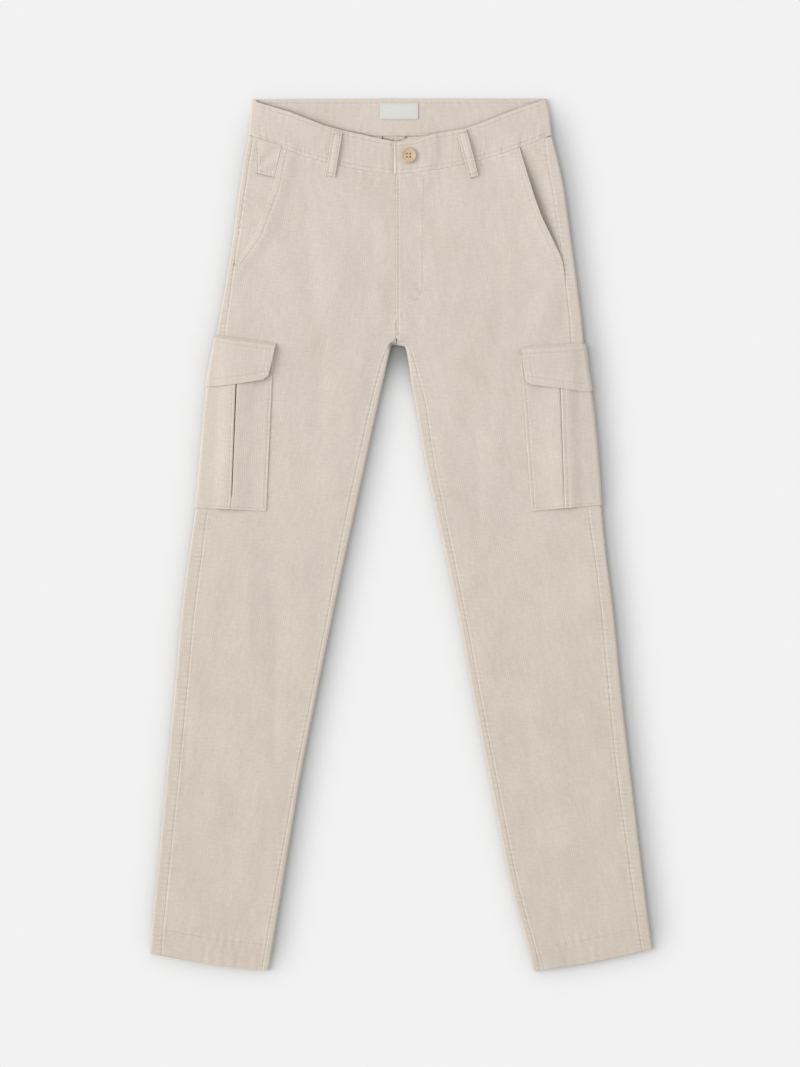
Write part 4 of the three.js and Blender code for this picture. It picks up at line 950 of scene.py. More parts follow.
def cargoFlap(side):
    sizes = cargo[side]
    edgeOut = outerAt(side, sizes["flapTop"][1])[0][0, 0]
    share = fineEnds(50, 1.8)
    frontTopOut = sizes["flapFront"][0][1]
    last = sizes["flapFront"][-1][0]

    def downAt(out, part):
        across = np.minimum((out - frontTopOut) / (edgeOut - frontTopOut), 1)
        return mix(mix(*sizes["flapTop"], across), readLine(sizes["flapFoot"], out), part)

    frontDown = mix(sizes["flapTop"][0], last, share)
    corner = 3.2 * smooth((share - 0.8) / 0.2)
    frontOut = readLine(sizes["flapFront"], frontDown) + corner * smooth((share - 0.9) / 0.1)
    slitShare = (frontDown - sizes["slit"][0][1]) / (sizes["slit"][1][1] - sizes["slit"][0][1])
    slitOut = mix(sizes["slit"][0][0], sizes["slit"][1][0], slitShare)
    endOut = slitOut + flapRise[-1][0]
    columns = fineEnds(70, 2.2, atEnd=False)
    outs = mix(frontOut[:, None], endOut[:, None], columns[None, :])
    spots = np.stack([outs, downAt(outs, share[:, None])], -1)
    sewn = smooth(share * 12)[:, None]
    rise = readLine(flapRise, np.clip(outs - slitOut[:, None], flapRise[0][0], flapRise[-1][0]))
    rise = rise + flap["gape"][side] * bell(outs - frontOut[:, None], 16) * smooth(share * 3)[:, None]
    lift = mix(flap["lift"], flap["overPocket"] + rise, sewn)
    half = walls["flap"] / 2
    fromFront = away(spots, spots[:, :1])
    fromTop = np.abs(spots[..., 1] - downAt(outs, 0))
    fromFoot = np.abs(spots[..., 1] - downAt(outs, 1))
    relief = stitchRelief(fromTop - 2, outs, topstitchLook, 0.7)
    relief += stitchRelief(fromTop - 8.5, outs, topstitchLook, 1.9)
    relief += stitchRelief(fromFoot - 9.5, outs, topstitchLook, 2.9)
    relief += stitchRelief(fromFront - 9, spots[..., 1], topstitchLook, 0.2) * smooth((fromTop - 8) / 3)
    relief += 0.6 * waviness(side, spots, 3.3)
    base = clothTop(side, spots)
    drop = edgeDrop(least(fromFront, fromTop, fromFoot), half * 0.97)
    middle = base + lift + relief
    face = place(side, spots, middle + half - drop)
    back = place(side, spots, middle - half + drop)

    spot, normal = outerAt(side, downAt(edgeOut, share))
    over = mix(flap["lift"], flap["overPocket"], sewn[:, 0]) + half
    degrees = np.linspace(90, flap["rollEnd"], roll["steps"] + 1)
    length = np.abs(last - sizes["flapTop"][0])
    tuck = edgeDrop(np.minimum(share, 1 - share) * length, half * 0.97)[:, None]
    angle = np.radians(degrees)
    grids = []
    for reach in (over[:, None] - tuck, over[:, None] - walls["flap"] + tuck):
        reach = reach + roll["radius"]
        inwards = roll["radius"] - reach * np.cos(angle)[None, :]
        rollSpots = spot[:, None, :] - normal[:, None, :] * inwards[..., None]
        grids.append(place(side, rollSpots, roll["radius"] + reach * np.sin(angle)[None, :]))
    face = np.concatenate([face, grids[0]], 1)
    back = np.concatenate([back, grids[1]], 1)
    arc = acrossArc(face, 0, frontOut)
    grain = np.stack([arc, -face[..., 1]], -1)
    relief = np.concatenate([relief, np.zeros((len(share), len(degrees)))], 1)
    return clothWall("cargoFlap" + side.capitalize(), [(face, back, grain, relief)])


# Small cloth pieces
beltLoop = {"width": 12, "wall": 2, "seat": 0.5, "arch": {"right": 1.3, "left": 2.2}}
beltLoops = {"right": [(77, 42), (86, 96)], "left": [(73, 40), (88, 97)]}
ticket = {"outer": 176.5, "outerFoot": 92.5, "innerFoot": 98, "clearance": 0.3}
label = {"left": -25.5, "right": 20.5, "top": 6.5, "foot": 26.5, "thickness": 0.8}
hangerTab = {"left": -23.5, "right": 6, "top": 46.8, "foot": 62, "thickness": 1.2}


def beltLoopStrip(side):
    start, end = (np.array(row, float) for row in beltLoops[side])
    run = end - start
    length = np.linalg.norm(run)
    share = fineEnds(length, 1.8)
    across = fineEnds(beltLoop["width"], 1.2, atStart=False, atEnd=False)
    across = np.unique(np.concatenate([across, [0.01, 0.035, 0.07, 0.11, 0.89, 0.93, 0.965, 0.99]])) - 0.5
    aside = np.array([run[1], -run[0]]) / length * beltLoop["width"]
    spots = start + share[:, None, None] * run + across[None, :, None] * aside
    fromEdge = (0.5 - np.abs(across))[None, :] * beltLoop["width"]
    fromEnd = (np.minimum(share, 1 - share) * length)[:, None]
    under = waistTop(side, spots) + beltLoop["seat"]
    arch = beltLoop["arch"][side] * np.sin(np.pi * share)[:, None]
    along = (share * length)[:, None]
    relief = stitchRelief(fromEdge - 2.1, along, topstitchLook, 0.9 + sides[side])
    relief += 0.25 * bell(fromEdge - 6, 2.5) - 0.3 * bell(fromEnd - 4, 2)
    drop = edgeDrop(np.minimum(fromEdge, fromEnd), beltLoop["wall"] * 0.48)
    face = place(side, spots, under + arch + beltLoop["wall"] + relief - drop)
    back = place(side, spots, under + arch + drop)
    grain = np.stack([across * beltLoop["width"] + 0 * along, along + 0 * fromEdge], -1)
    return clothWall("beltLoop" + side.capitalize(), [(face, back, grain, relief)])


def ticketPocket():
    side = "right"
    share = fineEnds(40, 1.5)
    across = fineEnds(26, 1.5)
    foot = mix(ticket["outerFoot"], ticket["innerFoot"], across)
    roughOut = mix(ticket["outer"], readLine(slantEdges[side], foot), across)
    top = waistSeam(side, roughOut) + gaps["seam"]
    down = mix(top[None, :], foot[None, :], share[:, None])
    slantOut = readLine(slantEdges[side], down) + ticket["clearance"]
    out = mix(ticket["outer"], slantOut, across[None, :])
    spots = np.stack([out, down], -1)
    fromFoot = foot[None, :] - down
    fromTop = down - top[None, :]
    fromOuter = ticket["outer"] - out
    fromInner = out - slantOut
    relief = stitchRelief(fromFoot - 4.5, out, topstitchLook, 1.6)
    relief += stitchRelief(fromOuter - 2, down, topstitchLook, 0.6)
    fan = np.arctan2(fromFoot, fromOuter + 3)
    relief += 0.3 * np.sin(fan * 11) * smooth(fromFoot / 9) * smooth(fromOuter / 8) * smooth(fromTop / 5)
    base = clothTop(side, spots, False) + gaps["lay"] + 0.25
    drop = edgeDrop(least(fromFoot, fromTop, fromOuter), 0.55)
    drop = np.maximum(drop, edgeDrop(fromInner, 0.2))
    face = place(side, spots, base + walls["pocket"] + relief - drop)
    back = place(side, spots, base + drop)
    # painted light beside the slant edge, and a painted shade along the pocket's foot
    mark = relief + seamLight * bell(fromInner, 1.4) - 2 * bell(fromFoot, 1)
    return clothWall("ticketPocketRight", [(face, back, grainOf(side, spots), mark)])


def patch(name, sizes, seat, curl, shade=(0, 0)):
    width = sizes["right"] - sizes["left"]
    height = sizes["foot"] - sizes["top"]
    across = fineEnds(width, 1.6)
    along = fineEnds(height, 1.6)
    x = np.broadcast_to(sizes["left"] + across * width, (len(along), len(across)))
    down = np.broadcast_to((sizes["top"] + along * height)[:, None], x.shape)
    fromEdge = least(x - sizes["left"], sizes["right"] - x, down - sizes["top"], sizes["foot"] - down)
    lift = curl * (0.5 + 0.5 * np.sin(x / 9 + 0.6)) * smooth(fromEdge / 5)
    drop = edgeDrop(fromEdge, sizes["thickness"] * 0.45)
    spots = np.stack([x, down], -1)
    face = place("left", spots, seat + sizes["thickness"] + lift - drop)
    back = place("left", spots, seat + lift + drop)
    fromEnds = np.minimum(x - sizes["left"], sizes["right"] - x)
    # painted shade, used on the hanger tab: darker all over where it lies deep, at both ends, and under the
    # front waistband's edge
    mark = -shade[0] - shade[1] * bell(fromEnds, 1.7) - 5 * shade[0] * besideFront(x, down)
    return clothWall(name, [(face, back, np.stack([x, down], -1), mark + 0 * x)])


pieces = {}
for side in sides:
    pieces["back" + side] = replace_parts(backPanel(side), "back_" + side)
    pieces["front" + side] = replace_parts(frontPanel(side), "front_" + side)
    pieces["facing" + side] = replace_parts(hipFacing(side), "hip_facing_" + side)
    pieces["band" + side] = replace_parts(waistband(side), "waistband_" + side)
    pieces["pocket" + side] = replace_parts(cargoPocket(side), "cargo_pocket_" + side)
    pieces["flap" + side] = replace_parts(cargoFlap(side), "cargo_flap_" + side)
    pieces["loop" + side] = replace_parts(beltLoopStrip(side), "belt_loop_" + side)
pieces["ticket"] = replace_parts(ticketPocket(), "ticket_pocket_right")
pieces["label"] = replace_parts(
    patch("labelBlank", label, walls["band"] + gaps["lay"], 0.25), "label_blank")
pieces["tab"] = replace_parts(
    patch("hangerTab", hangerTab, walls["cloth"] + gaps["lay"], 0.1, (0.5, 3.6)),
    "hanger_tab")
print("trousers: cloth made,", sum(len(p.data.polygons) for p in pieces.values()), "squares")


# Button: a turned disc with a raised rim, a dished middle and four holes, sewn on with thread
button = {"x": 9, "down": 71, "radius": 9.2, "thickness": 3.2, "rim": 1.7, "slope": 0.6, "dish": 0.75,
          "well": 2.2, "wellDepth": 0.15, "underRim": 1.6, "bevel": 0.9, "edge": 0.12, "sides": 64,
          "hole": 1.05, "holeSides": 20, "drill": 12, "spread": 1.9}
buttonSeat = float(bandTop("left", np.array(float(button["x"])), 0.5)) + gaps["lay"]
buttonMiddle = Vector((button["x"], backWaistY - button["down"], buttonSeat)) / 1000


def finishPiece(name):  # the active object becomes a named piece at the origin
    piece = bpy.context.active_object
    piece.name = name
    bpy.ops.object.transform_apply(location=True, rotation=True, scale=True)
    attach(piece, "root")
    return piece


def pickFaces(piece, test):  # faces chosen by their place and normal
    bpy.ops.mesh.select_all(action="DESELECT")
    bpy.ops.object.mode_set(mode="OBJECT")
    for face in piece.data.polygons:
        face.select = test(face)
    bpy.ops.object.mode_set(mode="EDIT")


def makeButton():
    bpy.ops.object.select_all(action="DESELECT")
    bpy.ops.mesh.primitive_cylinder_add(
        vertices=button["sides"], radius=button["radius"] / 1000, depth=button["thickness"] / 1000,
        location=buttonMiddle + Vector((0, 0, button["thickness"] / 2000)))
    disc = bpy.context.active_object
    bpy.ops.object.mode_set(mode="EDIT")
    bpy.ops.mesh.select_mode(type="FACE")
    pickFaces(disc, lambda face: face.normal.z > 0.9)
    bpy.ops.mesh.inset(thickness=button["rim"] / 1000)
    bpy.ops.mesh.inset(thickness=button["slope"] / 1000)
    bpy.ops.transform.translate(value=(0, 0, -button["dish"] / 1000))
    bpy.ops.mesh.inset(thickness=button["well"] / 1000)
    bpy.ops.transform.translate(value=(0, 0, -button["wellDepth"] / 1000))
    pickFaces(disc, lambda face: face.normal.z < -0.9)
    bpy.ops.mesh.inset(thickness=button["underRim"] / 1000)
    bpy.ops.mesh.select_all(action="DESELECT")
    bpy.ops.object.mode_set(mode="OBJECT")
    for edge in disc.data.edges:
        ends = [disc.data.vertices[v].co for v in edge.vertices]
        onRim = all(abs(Vector(end.xy).length - button["radius"] / 1000) < 1e-5 for end in ends)
        edge.select = onRim and abs(ends[0].z - ends[1].z) < 1e-6
    bpy.ops.object.mode_set(mode="EDIT")
    bpy.ops.mesh.select_mode(type="EDGE")
    bpy.ops.mesh.bevel(offset=button["bevel"] / 1000, segments=4)
    bpy.ops.object.mode_set(mode="OBJECT")
    for x in (-1, 1):
        for y in (-1, 1):
            aside = Vector((x, y, 0)) * button["spread"] / 1000
            bpy.ops.object.select_all(action="DESELECT")
            bpy.ops.mesh.primitive_cylinder_add(
                vertices=button["holeSides"], radius=button["hole"] / 1000, depth=button["drill"] / 1000,
                location=buttonMiddle + aside)
            drill = bpy.context.active_object
            cut = disc.modifiers.new("hole", "BOOLEAN")
            cut.operation = "DIFFERENCE"
            cut.object = drill
            cut.solver = "EXACT"
            bpy.context.view_layer.objects.active = disc
            bpy.ops.object.modifier_apply(modifier="hole")
            bpy.data.objects.remove(drill)
    bpy.ops.object.select_all(action="DESELECT")
    disc.select_set(True)
    soften = disc.modifiers.new("edges", "BEVEL")
    soften.width = button["edge"] / 1000
    soften.segments = 2
    soften.limit_method = "ANGLE"
    bpy.ops.object.modifier_apply(modifier="edges")
    bpy.ops.object.shade_smooth_by_angle(angle=math.radians(40))
    return finishPiece("button")


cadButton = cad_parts["button"]
cadButton.name = "buttonSolid"
pieces["button"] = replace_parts(makeButton(), "button")
print("trousers: button made")


# Threads: short stitches laid along each seam, on whatever cloth lies on top there
thread = {"length": 2.3, "pitch": 3.1, "radius": 0.24, "sides": 5, "sink": 0.2, "reach": 0.4, "climb": 1.2}
bartack = {"length": 0.9, "pitch": 0.75, "radius": 0.26}


def walk(line, pitch):  # evenly spaced middles of stitches along a line, with their directions
    line = np.asarray(line, float)
    steps = np.linalg.norm(np.diff(line, axis=0), axis=1)
    arc = np.concatenate([[0], np.cumsum(steps)])
    count = max(int(arc[-1] / pitch), 1)
    at = (np.arange(count) + 0.5) * arc[-1] / count
    x = np.interp(at, arc, line[:, 0])
    y = np.interp(at, arc, line[:, 1])
    ahead = np.minimum(at + 0.5, arc[-1])
    behind = np.maximum(at - 0.5, 0)
    run = [np.interp(ahead, arc, line[:, i]) - np.interp(behind, arc, line[:, i]) for i in (0, 1)]
    run = np.stack(run, 1)
    return np.stack([x, y], 1), run / np.linalg.norm(run, axis=1, keepdims=True)


def heightAt(x, down):  # top of whatever lies at a place, in millimetres
    scene = bpy.context.scene
    layer = bpy.context.evaluated_depsgraph_get()
    start = Vector((x / 1000, (backWaistY - down) / 1000, 0.1))
    hit, spot, *_ = scene.ray_cast(layer, start, Vector((0, 0, -1)))
    return spot.z * 1000 if hit else None


def stitchShape(radius, length, count):  # one stitch along x: rings of points, thin at both ends
    rings = []
    for share, size in ((-0.5, 0.35), (-0.36, 0.9), (0, 1), (0.36, 0.9), (0.5, 0.35)):
        turn = 2 * math.pi * (np.arange(count) + 0.5) / count
        arch = radius * (0.5 - 2.6 * share**2)
        rings.append(np.stack([np.full(count, share * length), radius * size * np.cos(turn),
                               arch + radius * size * np.sin(turn)], 1))
    points = np.concatenate(rings)
    squares = []
    for ring in range(len(rings) - 1):
        for i in range(count):
            a = ring * count + i
            b = ring * count + (i + 1) % count
            squares.append([a, b, b + count, a + count])
    last = (len(rings) - 1) * count
    return points, squares, [list(range(count))[::-1], list(range(last, last + count))]


def sew(name, lines, look=thread):
    shape, squares, caps = stitchShape(look["radius"], look["length"], thread["sides"])
    points = []
    polygons = []
    for line in lines:
        middles, runs = walk(line, look["pitch"])
        for (x, down), (runX, runDown) in zip(middles, runs):
            half = look["length"] * thread["reach"]
            low = heightAt(x - runX * half, down - runDown * half)
            high = heightAt(x + runX * half, down + runDown * half)
            if low is None or high is None or abs(high - low) > thread["climb"]:
                continue
            along = Vector((runX, -runDown, (high - low) / (2 * half))).normalized()
            aside = Vector((0, 0, 1)).cross(along).normalized()
            up = along.cross(aside)
            frameHere = np.array([along, aside, up])
            middle = np.array([x, backWaistY - down, (low + high) / 2 + look["radius"] - thread["sink"]])
            count = len(points) * len(shape)
            points.append(shape @ frameHere + middle)
            polygons += [[v + count for v in polygon] for polygon in squares + caps]
    mesh = newMesh(name, np.concatenate(points), polygons)
    piece = newPiece(name, mesh)
    choose(piece)
    bpy.ops.object.shade_smooth()
    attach(piece, "root")
    return piece


def onSide(side, line):  # out and down to x and down
    return np.asarray(line, float) * np.array([sides[side], 1])


def slantLine(side, aside):
    down = np.linspace(slant["top"] + 3, slant["foot"] - 1, 60)
    edge = np.stack([readLine(slantEdges[side], down), down], 1)
    return onSide(side, edge + np.array([-aside, 0]))


def bandLine(side, fromTop, start, end):
    out = np.linspace(start, end, 80)
    if fromTop > 0:
        return onSide(side, np.stack([out, readLine(bandTops[side], out) + fromTop], 1))
    return onSide(side, np.stack([out, waistSeam(side, out) - gaps["band"] + fromTop], 1))


def hemLine(side):
    rows = sideRows(side, np.zeros(1), np.array([float(hemRow)]))
    outer = rows["outer"][1] - rows["normal"][1] * 3.2
    inner = rows["inner"][0] - rows["innerNormal"][0] * 3.2
    share = np.linspace(0, 1, 60)
    line = outer + (inner - outer) * share[:, None]
    line[:, 1] += 4 * legSections[side][hemRow][6] * share * (1 - share)
    return onSide(side, line)


def flapLine(side, name):
    sizes = cargo[side]
    start = sizes["flapFront"][0][1]
    last = outerAt(side, 330)[0][0, 0] - 3
    if name == "foot":
        out = np.linspace(sizes["flapFoot"][0][0] + 6, last, 50)
        return onSide(side, np.stack([out, readLine(sizes["flapFoot"], out) - 9.5], 1))
    if name == "front":
        down = np.linspace(sizes["flapTop"][0] + 9, sizes["flapFoot"][0][1] - 8, 30)
        return onSide(side, np.stack([readLine(sizes["flapFront"], down) + 9, down], 1))
    out = np.linspace(start + 3, outerAt(side, sizes["flapTop"][1])[0][0, 0] - 3, 50)
    across = (out - start) / (out[-1] + 3 - start)
    return onSide(side, np.stack([out, mix(*sizes["flapTop"], across) + name], 1))


def pocketLine(side, name):
    sizes = cargo[side]
    share = np.linspace(0.02, 0.985, 50)
    if name == "foot":
        out = np.linspace(sizes["front"][1][0] + 5, outerAt(side, sizes["outerDown"][1])[0][0, 0] - 3, 50)
        across = (out - out[0]) / (out[-1] - out[0])
        down = mix(sizes["front"][1][1], sizes["outerDown"][1], across) - 3
        return onSide(side, np.stack([out, down], 1))
    start, end = sizes[name]
    aside = 3.6 if name == "front" else 3.2
    share = share[share > 0.21]
    return onSide(side, np.stack([mix(start[0], end[0], share) + aside, mix(start[1], end[1], share)], 1))


def loopLines(side):
    start, end = (np.array(row, float) for row in beltLoops[side])
    run = end - start
    length = np.linalg.norm(run)
    aside = np.array([run[1], -run[0]]) / length
    share = np.linspace(0.05, 0.95, 20)[:, None]
    return [onSide(side, start + share * run + offset * aside) for offset in (-3.9, 3.9)]


def loopTacks(side):
    start, end = (np.array(row, float) for row in beltLoops[side])
    run = (end - start) / np.linalg.norm(end - start)
    aside = np.array([run[1], -run[0]])
    share = np.linspace(-5, 5, 12)[:, None]
    return [onSide(side, spot + share * aside) for spot in (start + 3.2 * run, end - 3.6 * run)]


flyEdge = [(hipCentre["left"] + fly["stitch"], down) for down in np.linspace(97, 288, 40)]
backBand = [[(x, band["backTop"] + band["stitch"]) for x in np.linspace(start, end, 60)]
            for start, end in ((-172, label["left"] - 1), (label["right"] + 1, 168))]
backBand.append([(x, band["backFoot"] - insideMarks["footStitch"]) for x in np.linspace(-80, 76, 60)])
threadLines = {
    "slantThread": [slantLine(side, slant["stitch"]) for side in ("right", "left")],
    "flyThread": [flyEdge, flyStitch],
    "bandThread": [
        bandLine("right", band["stitch"], 8, 168), bandLine("right", -band["stitch"], 8, 176),
        bandLine("left", band["stitch"], -3, 162), bandLine("left", -band["stitch"], -3, 172),
        [(-4.4, down) for down in np.linspace(61, 88, 12)]],
    "hemThread": [hemLine(side) for side in sides],
    "pocketThread": [pocketLine(side, name) for side in sides for name in ("front", "slit", "foot")],
    "flapThread": [flapLine(side, name) for side in sides for name in (2, 8.5, "foot", "front")],
    "loopThread": [line for side in sides for line in loopLines(side)],
    "tackThread": [line for side in sides for line in loopTacks(side)] + [
        [(10.5, 243), (15.5, 245.5)], [(0, 262), (0.5, 268)],
        onSide("right", [(199, 204), (204, 206)]), onSide("left", [(194, 203), (199, 206)])],
    "ticketThread": [onSide("right", [(175, 88.5), (157, 92.5)]), onSide("right", [(174.6, 60), (174.6, 90)])],
    "backThread": backBand,
    "labelThread": [[(-24.6, down), (19.6, down)] for down in (7.6, 25.4)],
}
for name, lines in threadLines.items():
    pieces[name] = sew(name, lines, bartack if name == "tackThread" else thread)


buttonSewing = {"radius": 0.42, "sides": 8, "past": 0.5, "lift": 0.1}


def buttonThread():  # two crossings over the holes
    top = buttonSeat + button["thickness"] - button["dish"] - button["wellDepth"] + buttonSewing["lift"]
    middle = np.array([button["x"], backWaistY - button["down"], top])
    points = []
    polygons = []
    length = 2 * button["spread"] + buttonSewing["past"]
    shape, squares, caps = stitchShape(buttonSewing["radius"], length, buttonSewing["sides"])
    for turn in (45, 135):
        angle = math.radians(turn)
        along = np.array([math.cos(angle), math.sin(angle), 0])
        across = np.array([-math.sin(angle), math.cos(angle), 0])
        count = len(points) * len(shape)
        points.append(shape @ np.array([along, across, [0, 0, 1.0]]) + middle)
        polygons += [[v + count for v in polygon] for polygon in squares + caps]
    piece = newPiece("buttonThread", newMesh("buttonThread", np.concatenate(points), polygons))
    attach(piece, "root")
    return piece


pieces["buttonThread"] = buttonThread()
print("trousers: sewn")


# Materials
def addNode(tree, kind, inputs=None, **settings):
    made = tree.nodes.new(kind)
    for key, value in settings.items():
        setattr(made, key, value)
    for key, value in (inputs or {}).items():
        if isinstance(value, bpy.types.NodeSocket):
            tree.links.new(value, made.inputs[key])
        else:
            made.inputs[key].default_value = value
    return made


def math2(tree, operation, first, second=None):
    values = {0: first} if second is None else {0: first, 1: second}
    return addNode(tree, "ShaderNodeMath", values, operation=operation).outputs[0]


def plus(tree, first, second):
    return math2(tree, "ADD", first, second)


def less(tree, first, second):
    return math2(tree, "SUBTRACT", first, second)


def times(tree, first, second):
    return math2(tree, "MULTIPLY", first, second)


def scaled(tree, vector, factors):
    values = {0: vector, 1: factors}
    return addNode(tree, "ShaderNodeVectorMath", values, operation="MULTIPLY").outputs[0]


def noise(tree, vector, scale, detail):
    values = {"Vector": vector, "Scale": scale, "Detail": detail}
    return addNode(tree, "ShaderNodeTexNoise", values).outputs[0]


def mapRange(tree, value, low, high, start=0.0, end=1.0):
    values = {0: value, 1: low, 2: high, 3: start, 4: end}
    return addNode(tree, "ShaderNodeMapRange", values).outputs[0]


def groupNode(tree, group, inputs):
    return addNode(tree, "ShaderNodeGroup", inputs, node_tree=group).outputs


def mixColour(tree, share, first, second, blend="MIX"):
    values = {0: share, 6: first, 7: second}
    return addNode(tree, "ShaderNodeMix", values, data_type="RGBA", blend_type=blend).outputs[2]


def newGroup(name, inputs, outputs):
    tree = bpy.data.node_groups.new(name, "ShaderNodeTree")
    for title, kind, value in inputs:
        socket = tree.interface.new_socket(title, in_out="INPUT", socket_type=kind)
        if value is not None:
            socket.default_value = value
    for title, kind in outputs:
        tree.interface.new_socket(title, in_out="OUTPUT", socket_type=kind)
    return tree, tree.nodes.new("NodeGroupInput").outputs, tree.nodes.new("NodeGroupOutput").inputs


def makeWaleGroup():  # rounded wales of pile with narrow valleys, uneven along their length
    tree, given, result = newGroup(
        "fineWale",
        [("Grain", "NodeSocketVector", None), ("Pitch", "NodeSocketFloat", 0.0022),
         ("Wander", "NodeSocketFloat", 0.0026)],
        [("Height", "NodeSocketFloat"), ("Valley", "NodeSocketFloat"), ("Nap", "NodeSocketFloat")])
    long = scaled(tree, given["Grain"], (1, 0.22, 1))
    split = addNode(tree, "ShaderNodeSeparateXYZ", {0: given["Grain"]})
    moved = times(tree, less(tree, noise(tree, long, 130, 3), 0.5), given["Wander"])
    across = math2(tree, "DIVIDE", plus(tree, split.outputs[0], moved), given["Pitch"])
    wave = math2(tree, "ABSOLUTE", math2(tree, "SINE", times(tree, across, math.pi)))
    ridge = math2(tree, "POWER", wave, 0.55)
    wearAndShade = noise(tree, long, 190, 3)
    wear = mapRange(tree, wearAndShade, 0.3, 0.72, 0.45, 1.0)
    fine = times(tree, noise(tree, given["Grain"], 2600, 3), 0.35)
    slub = noise(tree, scaled(tree, given["Grain"], (0.3, 1, 1)), 420, 4)
    tree.links.new(plus(tree, times(tree, ridge, wear), fine), result["Height"])
    tree.links.new(times(tree, less(tree, 1.0, ridge), wear), result["Valley"])
    tree.links.new(plus(tree, wearAndShade, slub), result["Nap"])
    return tree


def makeToneGroup():  # slow changes of shade over a piece: nap, handling and light washing
    tree, given, result = newGroup(
        "clothTone",
        [("Place", "NodeSocketVector", None), ("Amount", "NodeSocketFloat", 0.05)],
        [("Tone", "NodeSocketFloat")])
    broad = times(tree, noise(tree, given["Place"], 7, 3), 0.65)
    small = times(tree, noise(tree, given["Place"], 42, 4), 0.35)
    centred = less(tree, plus(tree, broad, small), 0.5)
    tree.links.new(plus(tree, 1.0, times(tree, centred, given["Amount"])), result["Tone"])
    return tree


waleGroup = makeWaleGroup()
toneGroup = makeToneGroup()
white = (1, 1, 1, 1)
corduroy = {"light": (0.674, 0.603, 0.533, 1), "valley": (0.48, 0.405, 0.35, 1),
            "pitch": 0.0022, "bump": 0.00024, "sheen": 0.25, "valleyShare": 0.33, "wearAndShade": 0.17, "nap": 0.2,
            "mauve": (0.992, 0.968, 0.968, 1), "foot": (0.935, 0.922, 0.905, 1)}


def newMaterial(name, settings):
    material = bpy.data.materials.new(name)
    material.use_nodes = True
    shader = material.node_tree.nodes["Principled BSDF"]
    for key, value in settings.items():
        shader.inputs[key].default_value = value
    return material, material.node_tree, shader


def finishCloth(tree, shader, colour, level, bump):  # its colour at a level of brightness, and its bumps
    shaded = addNode(tree, "ShaderNodeVectorMath", {0: colour, "Scale": level}, operation="SCALE")
    tree.links.new(shaded.outputs[0], shader.inputs["Base Color"])
    tree.links.new(addNode(tree, "ShaderNodeBump", bump).outputs[0], shader.inputs["Normal"])


def corduroyMaterial(name):
    material, tree, shader = newMaterial(name, {
        "Roughness": 0.92, "Sheen Weight": corduroy["sheen"], "Sheen Roughness": 0.55,
        "Sheen Tint": (0.95, 0.9, 0.84, 1), "Specular IOR Level": 0.25})
    grain = addNode(tree, "ShaderNodeUVMap", uv_map="grain").outputs[0]
    spot = addNode(tree, "ShaderNodeTexCoord").outputs["Object"]
    split = addNode(tree, "ShaderNodeSeparateXYZ", {0: spot}).outputs
    wale = groupNode(tree, waleGroup, {"Grain": grain, "Pitch": corduroy["pitch"]})
    valley = times(tree, wale["Valley"], corduroy["valleyShare"])
    colour = mixColour(tree, valley, corduroy["light"], corduroy["valley"])
    patchShare = mapRange(tree, noise(tree, spot, 16, 3), 0.48, 0.68)
    # painted shade: the cloth is drawn darker and warmer towards the hems than at the waist
    towardsWaist = mapRange(tree, split[1], -0.53, 0.35)
    for tint in (mixColour(tree, patchShare, white, corduroy["mauve"]),
                 mixColour(tree, towardsWaist, corduroy["foot"], white)):
        colour = mixColour(tree, 1.0, colour, tint, "MULTIPLY")
    # Painted shade and light from the relief attribute: grooves and marked places are drawn darker, ridges and
    # seam edges lighter
    relief = addNode(tree, "ShaderNodeAttribute", attribute_name="relief").outputs["Fac"]
    tone = groupNode(tree, toneGroup, {"Place": spot, "Amount": 0.14})["Tone"]
    # painted light: the cloth is drawn a little brighter towards -x, the side the key light comes from
    shade = mapRange(tree, split[0], -0.25, 0.25, 1.014, 0.986)
    wearAndShade = plus(tree, 1.0, times(tree, relief, corduroy["wearAndShade"]))
    nap = plus(tree, 1.0, times(tree, less(tree, wale["Nap"], 1.0), corduroy["nap"]))
    level = times(tree, times(tree, tone, shade), times(tree, wearAndShade, nap))
    bump = {"Height": wale["Height"], "Distance": corduroy["bump"], "Strength": 0.8}
    finishCloth(tree, shader, colour, level, bump)
    return material


def plainWeaveMaterial(name, light, dark, scale, roughness):
    material, tree, shader = newMaterial(name, {"Roughness": roughness, "Specular IOR Level": 0.3})
    spot = addNode(tree, "ShaderNodeTexCoord").outputs["Object"]
    split = addNode(tree, "ShaderNodeSeparateXYZ", {0: spot}).outputs
    warp, weft = [math2(tree, "SINE", times(tree, split[i], scale)) for i in (0, 1)]
    weave = mapRange(tree, times(tree, warp, weft), -1.0, 1.0)
    height = mapRange(tree, plus(tree, weave, noise(tree, spot, 900, 4)), 0.35, 1.3)
    tone = groupNode(tree, toneGroup, {"Place": spot, "Amount": 0.12})["Tone"]
    bump = {"Height": height, "Distance": 0.00012, "Strength": 0.7}
    finishCloth(tree, shader, mixColour(tree, height, dark, light), tone, bump)
    return material


def resinMaterial():  # horn-like resin: pale, with soft streaks
    material, tree, shader = newMaterial("hornResin", {
        "Roughness": 0.34, "Specular IOR Level": 0.5, "Coat Weight": 0.15, "Coat Roughness": 0.2})
    spot = addNode(tree, "ShaderNodeTexCoord").outputs["Object"]
    stretched = addNode(tree, "ShaderNodeMapping", {"Vector": spot, "Scale": (1, 0.25, 1)}).outputs[0]
    streak = addNode(tree, "ShaderNodeTexNoise",
                     {"Vector": stretched, "Scale": 420, "Detail": 4, "Distortion": 1.2}).outputs[0]
    share = mapRange(tree, streak, 0.3, 0.7)
    colour = mixColour(tree, share, (0.55, 0.41, 0.26, 1), (0.68, 0.54, 0.37, 1))
    tree.links.new(colour, shader.inputs["Base Color"])
    rough = mapRange(tree, streak, 0.0, 1.0, 0.28, 0.42)
    tree.links.new(rough, shader.inputs["Roughness"])
    return material


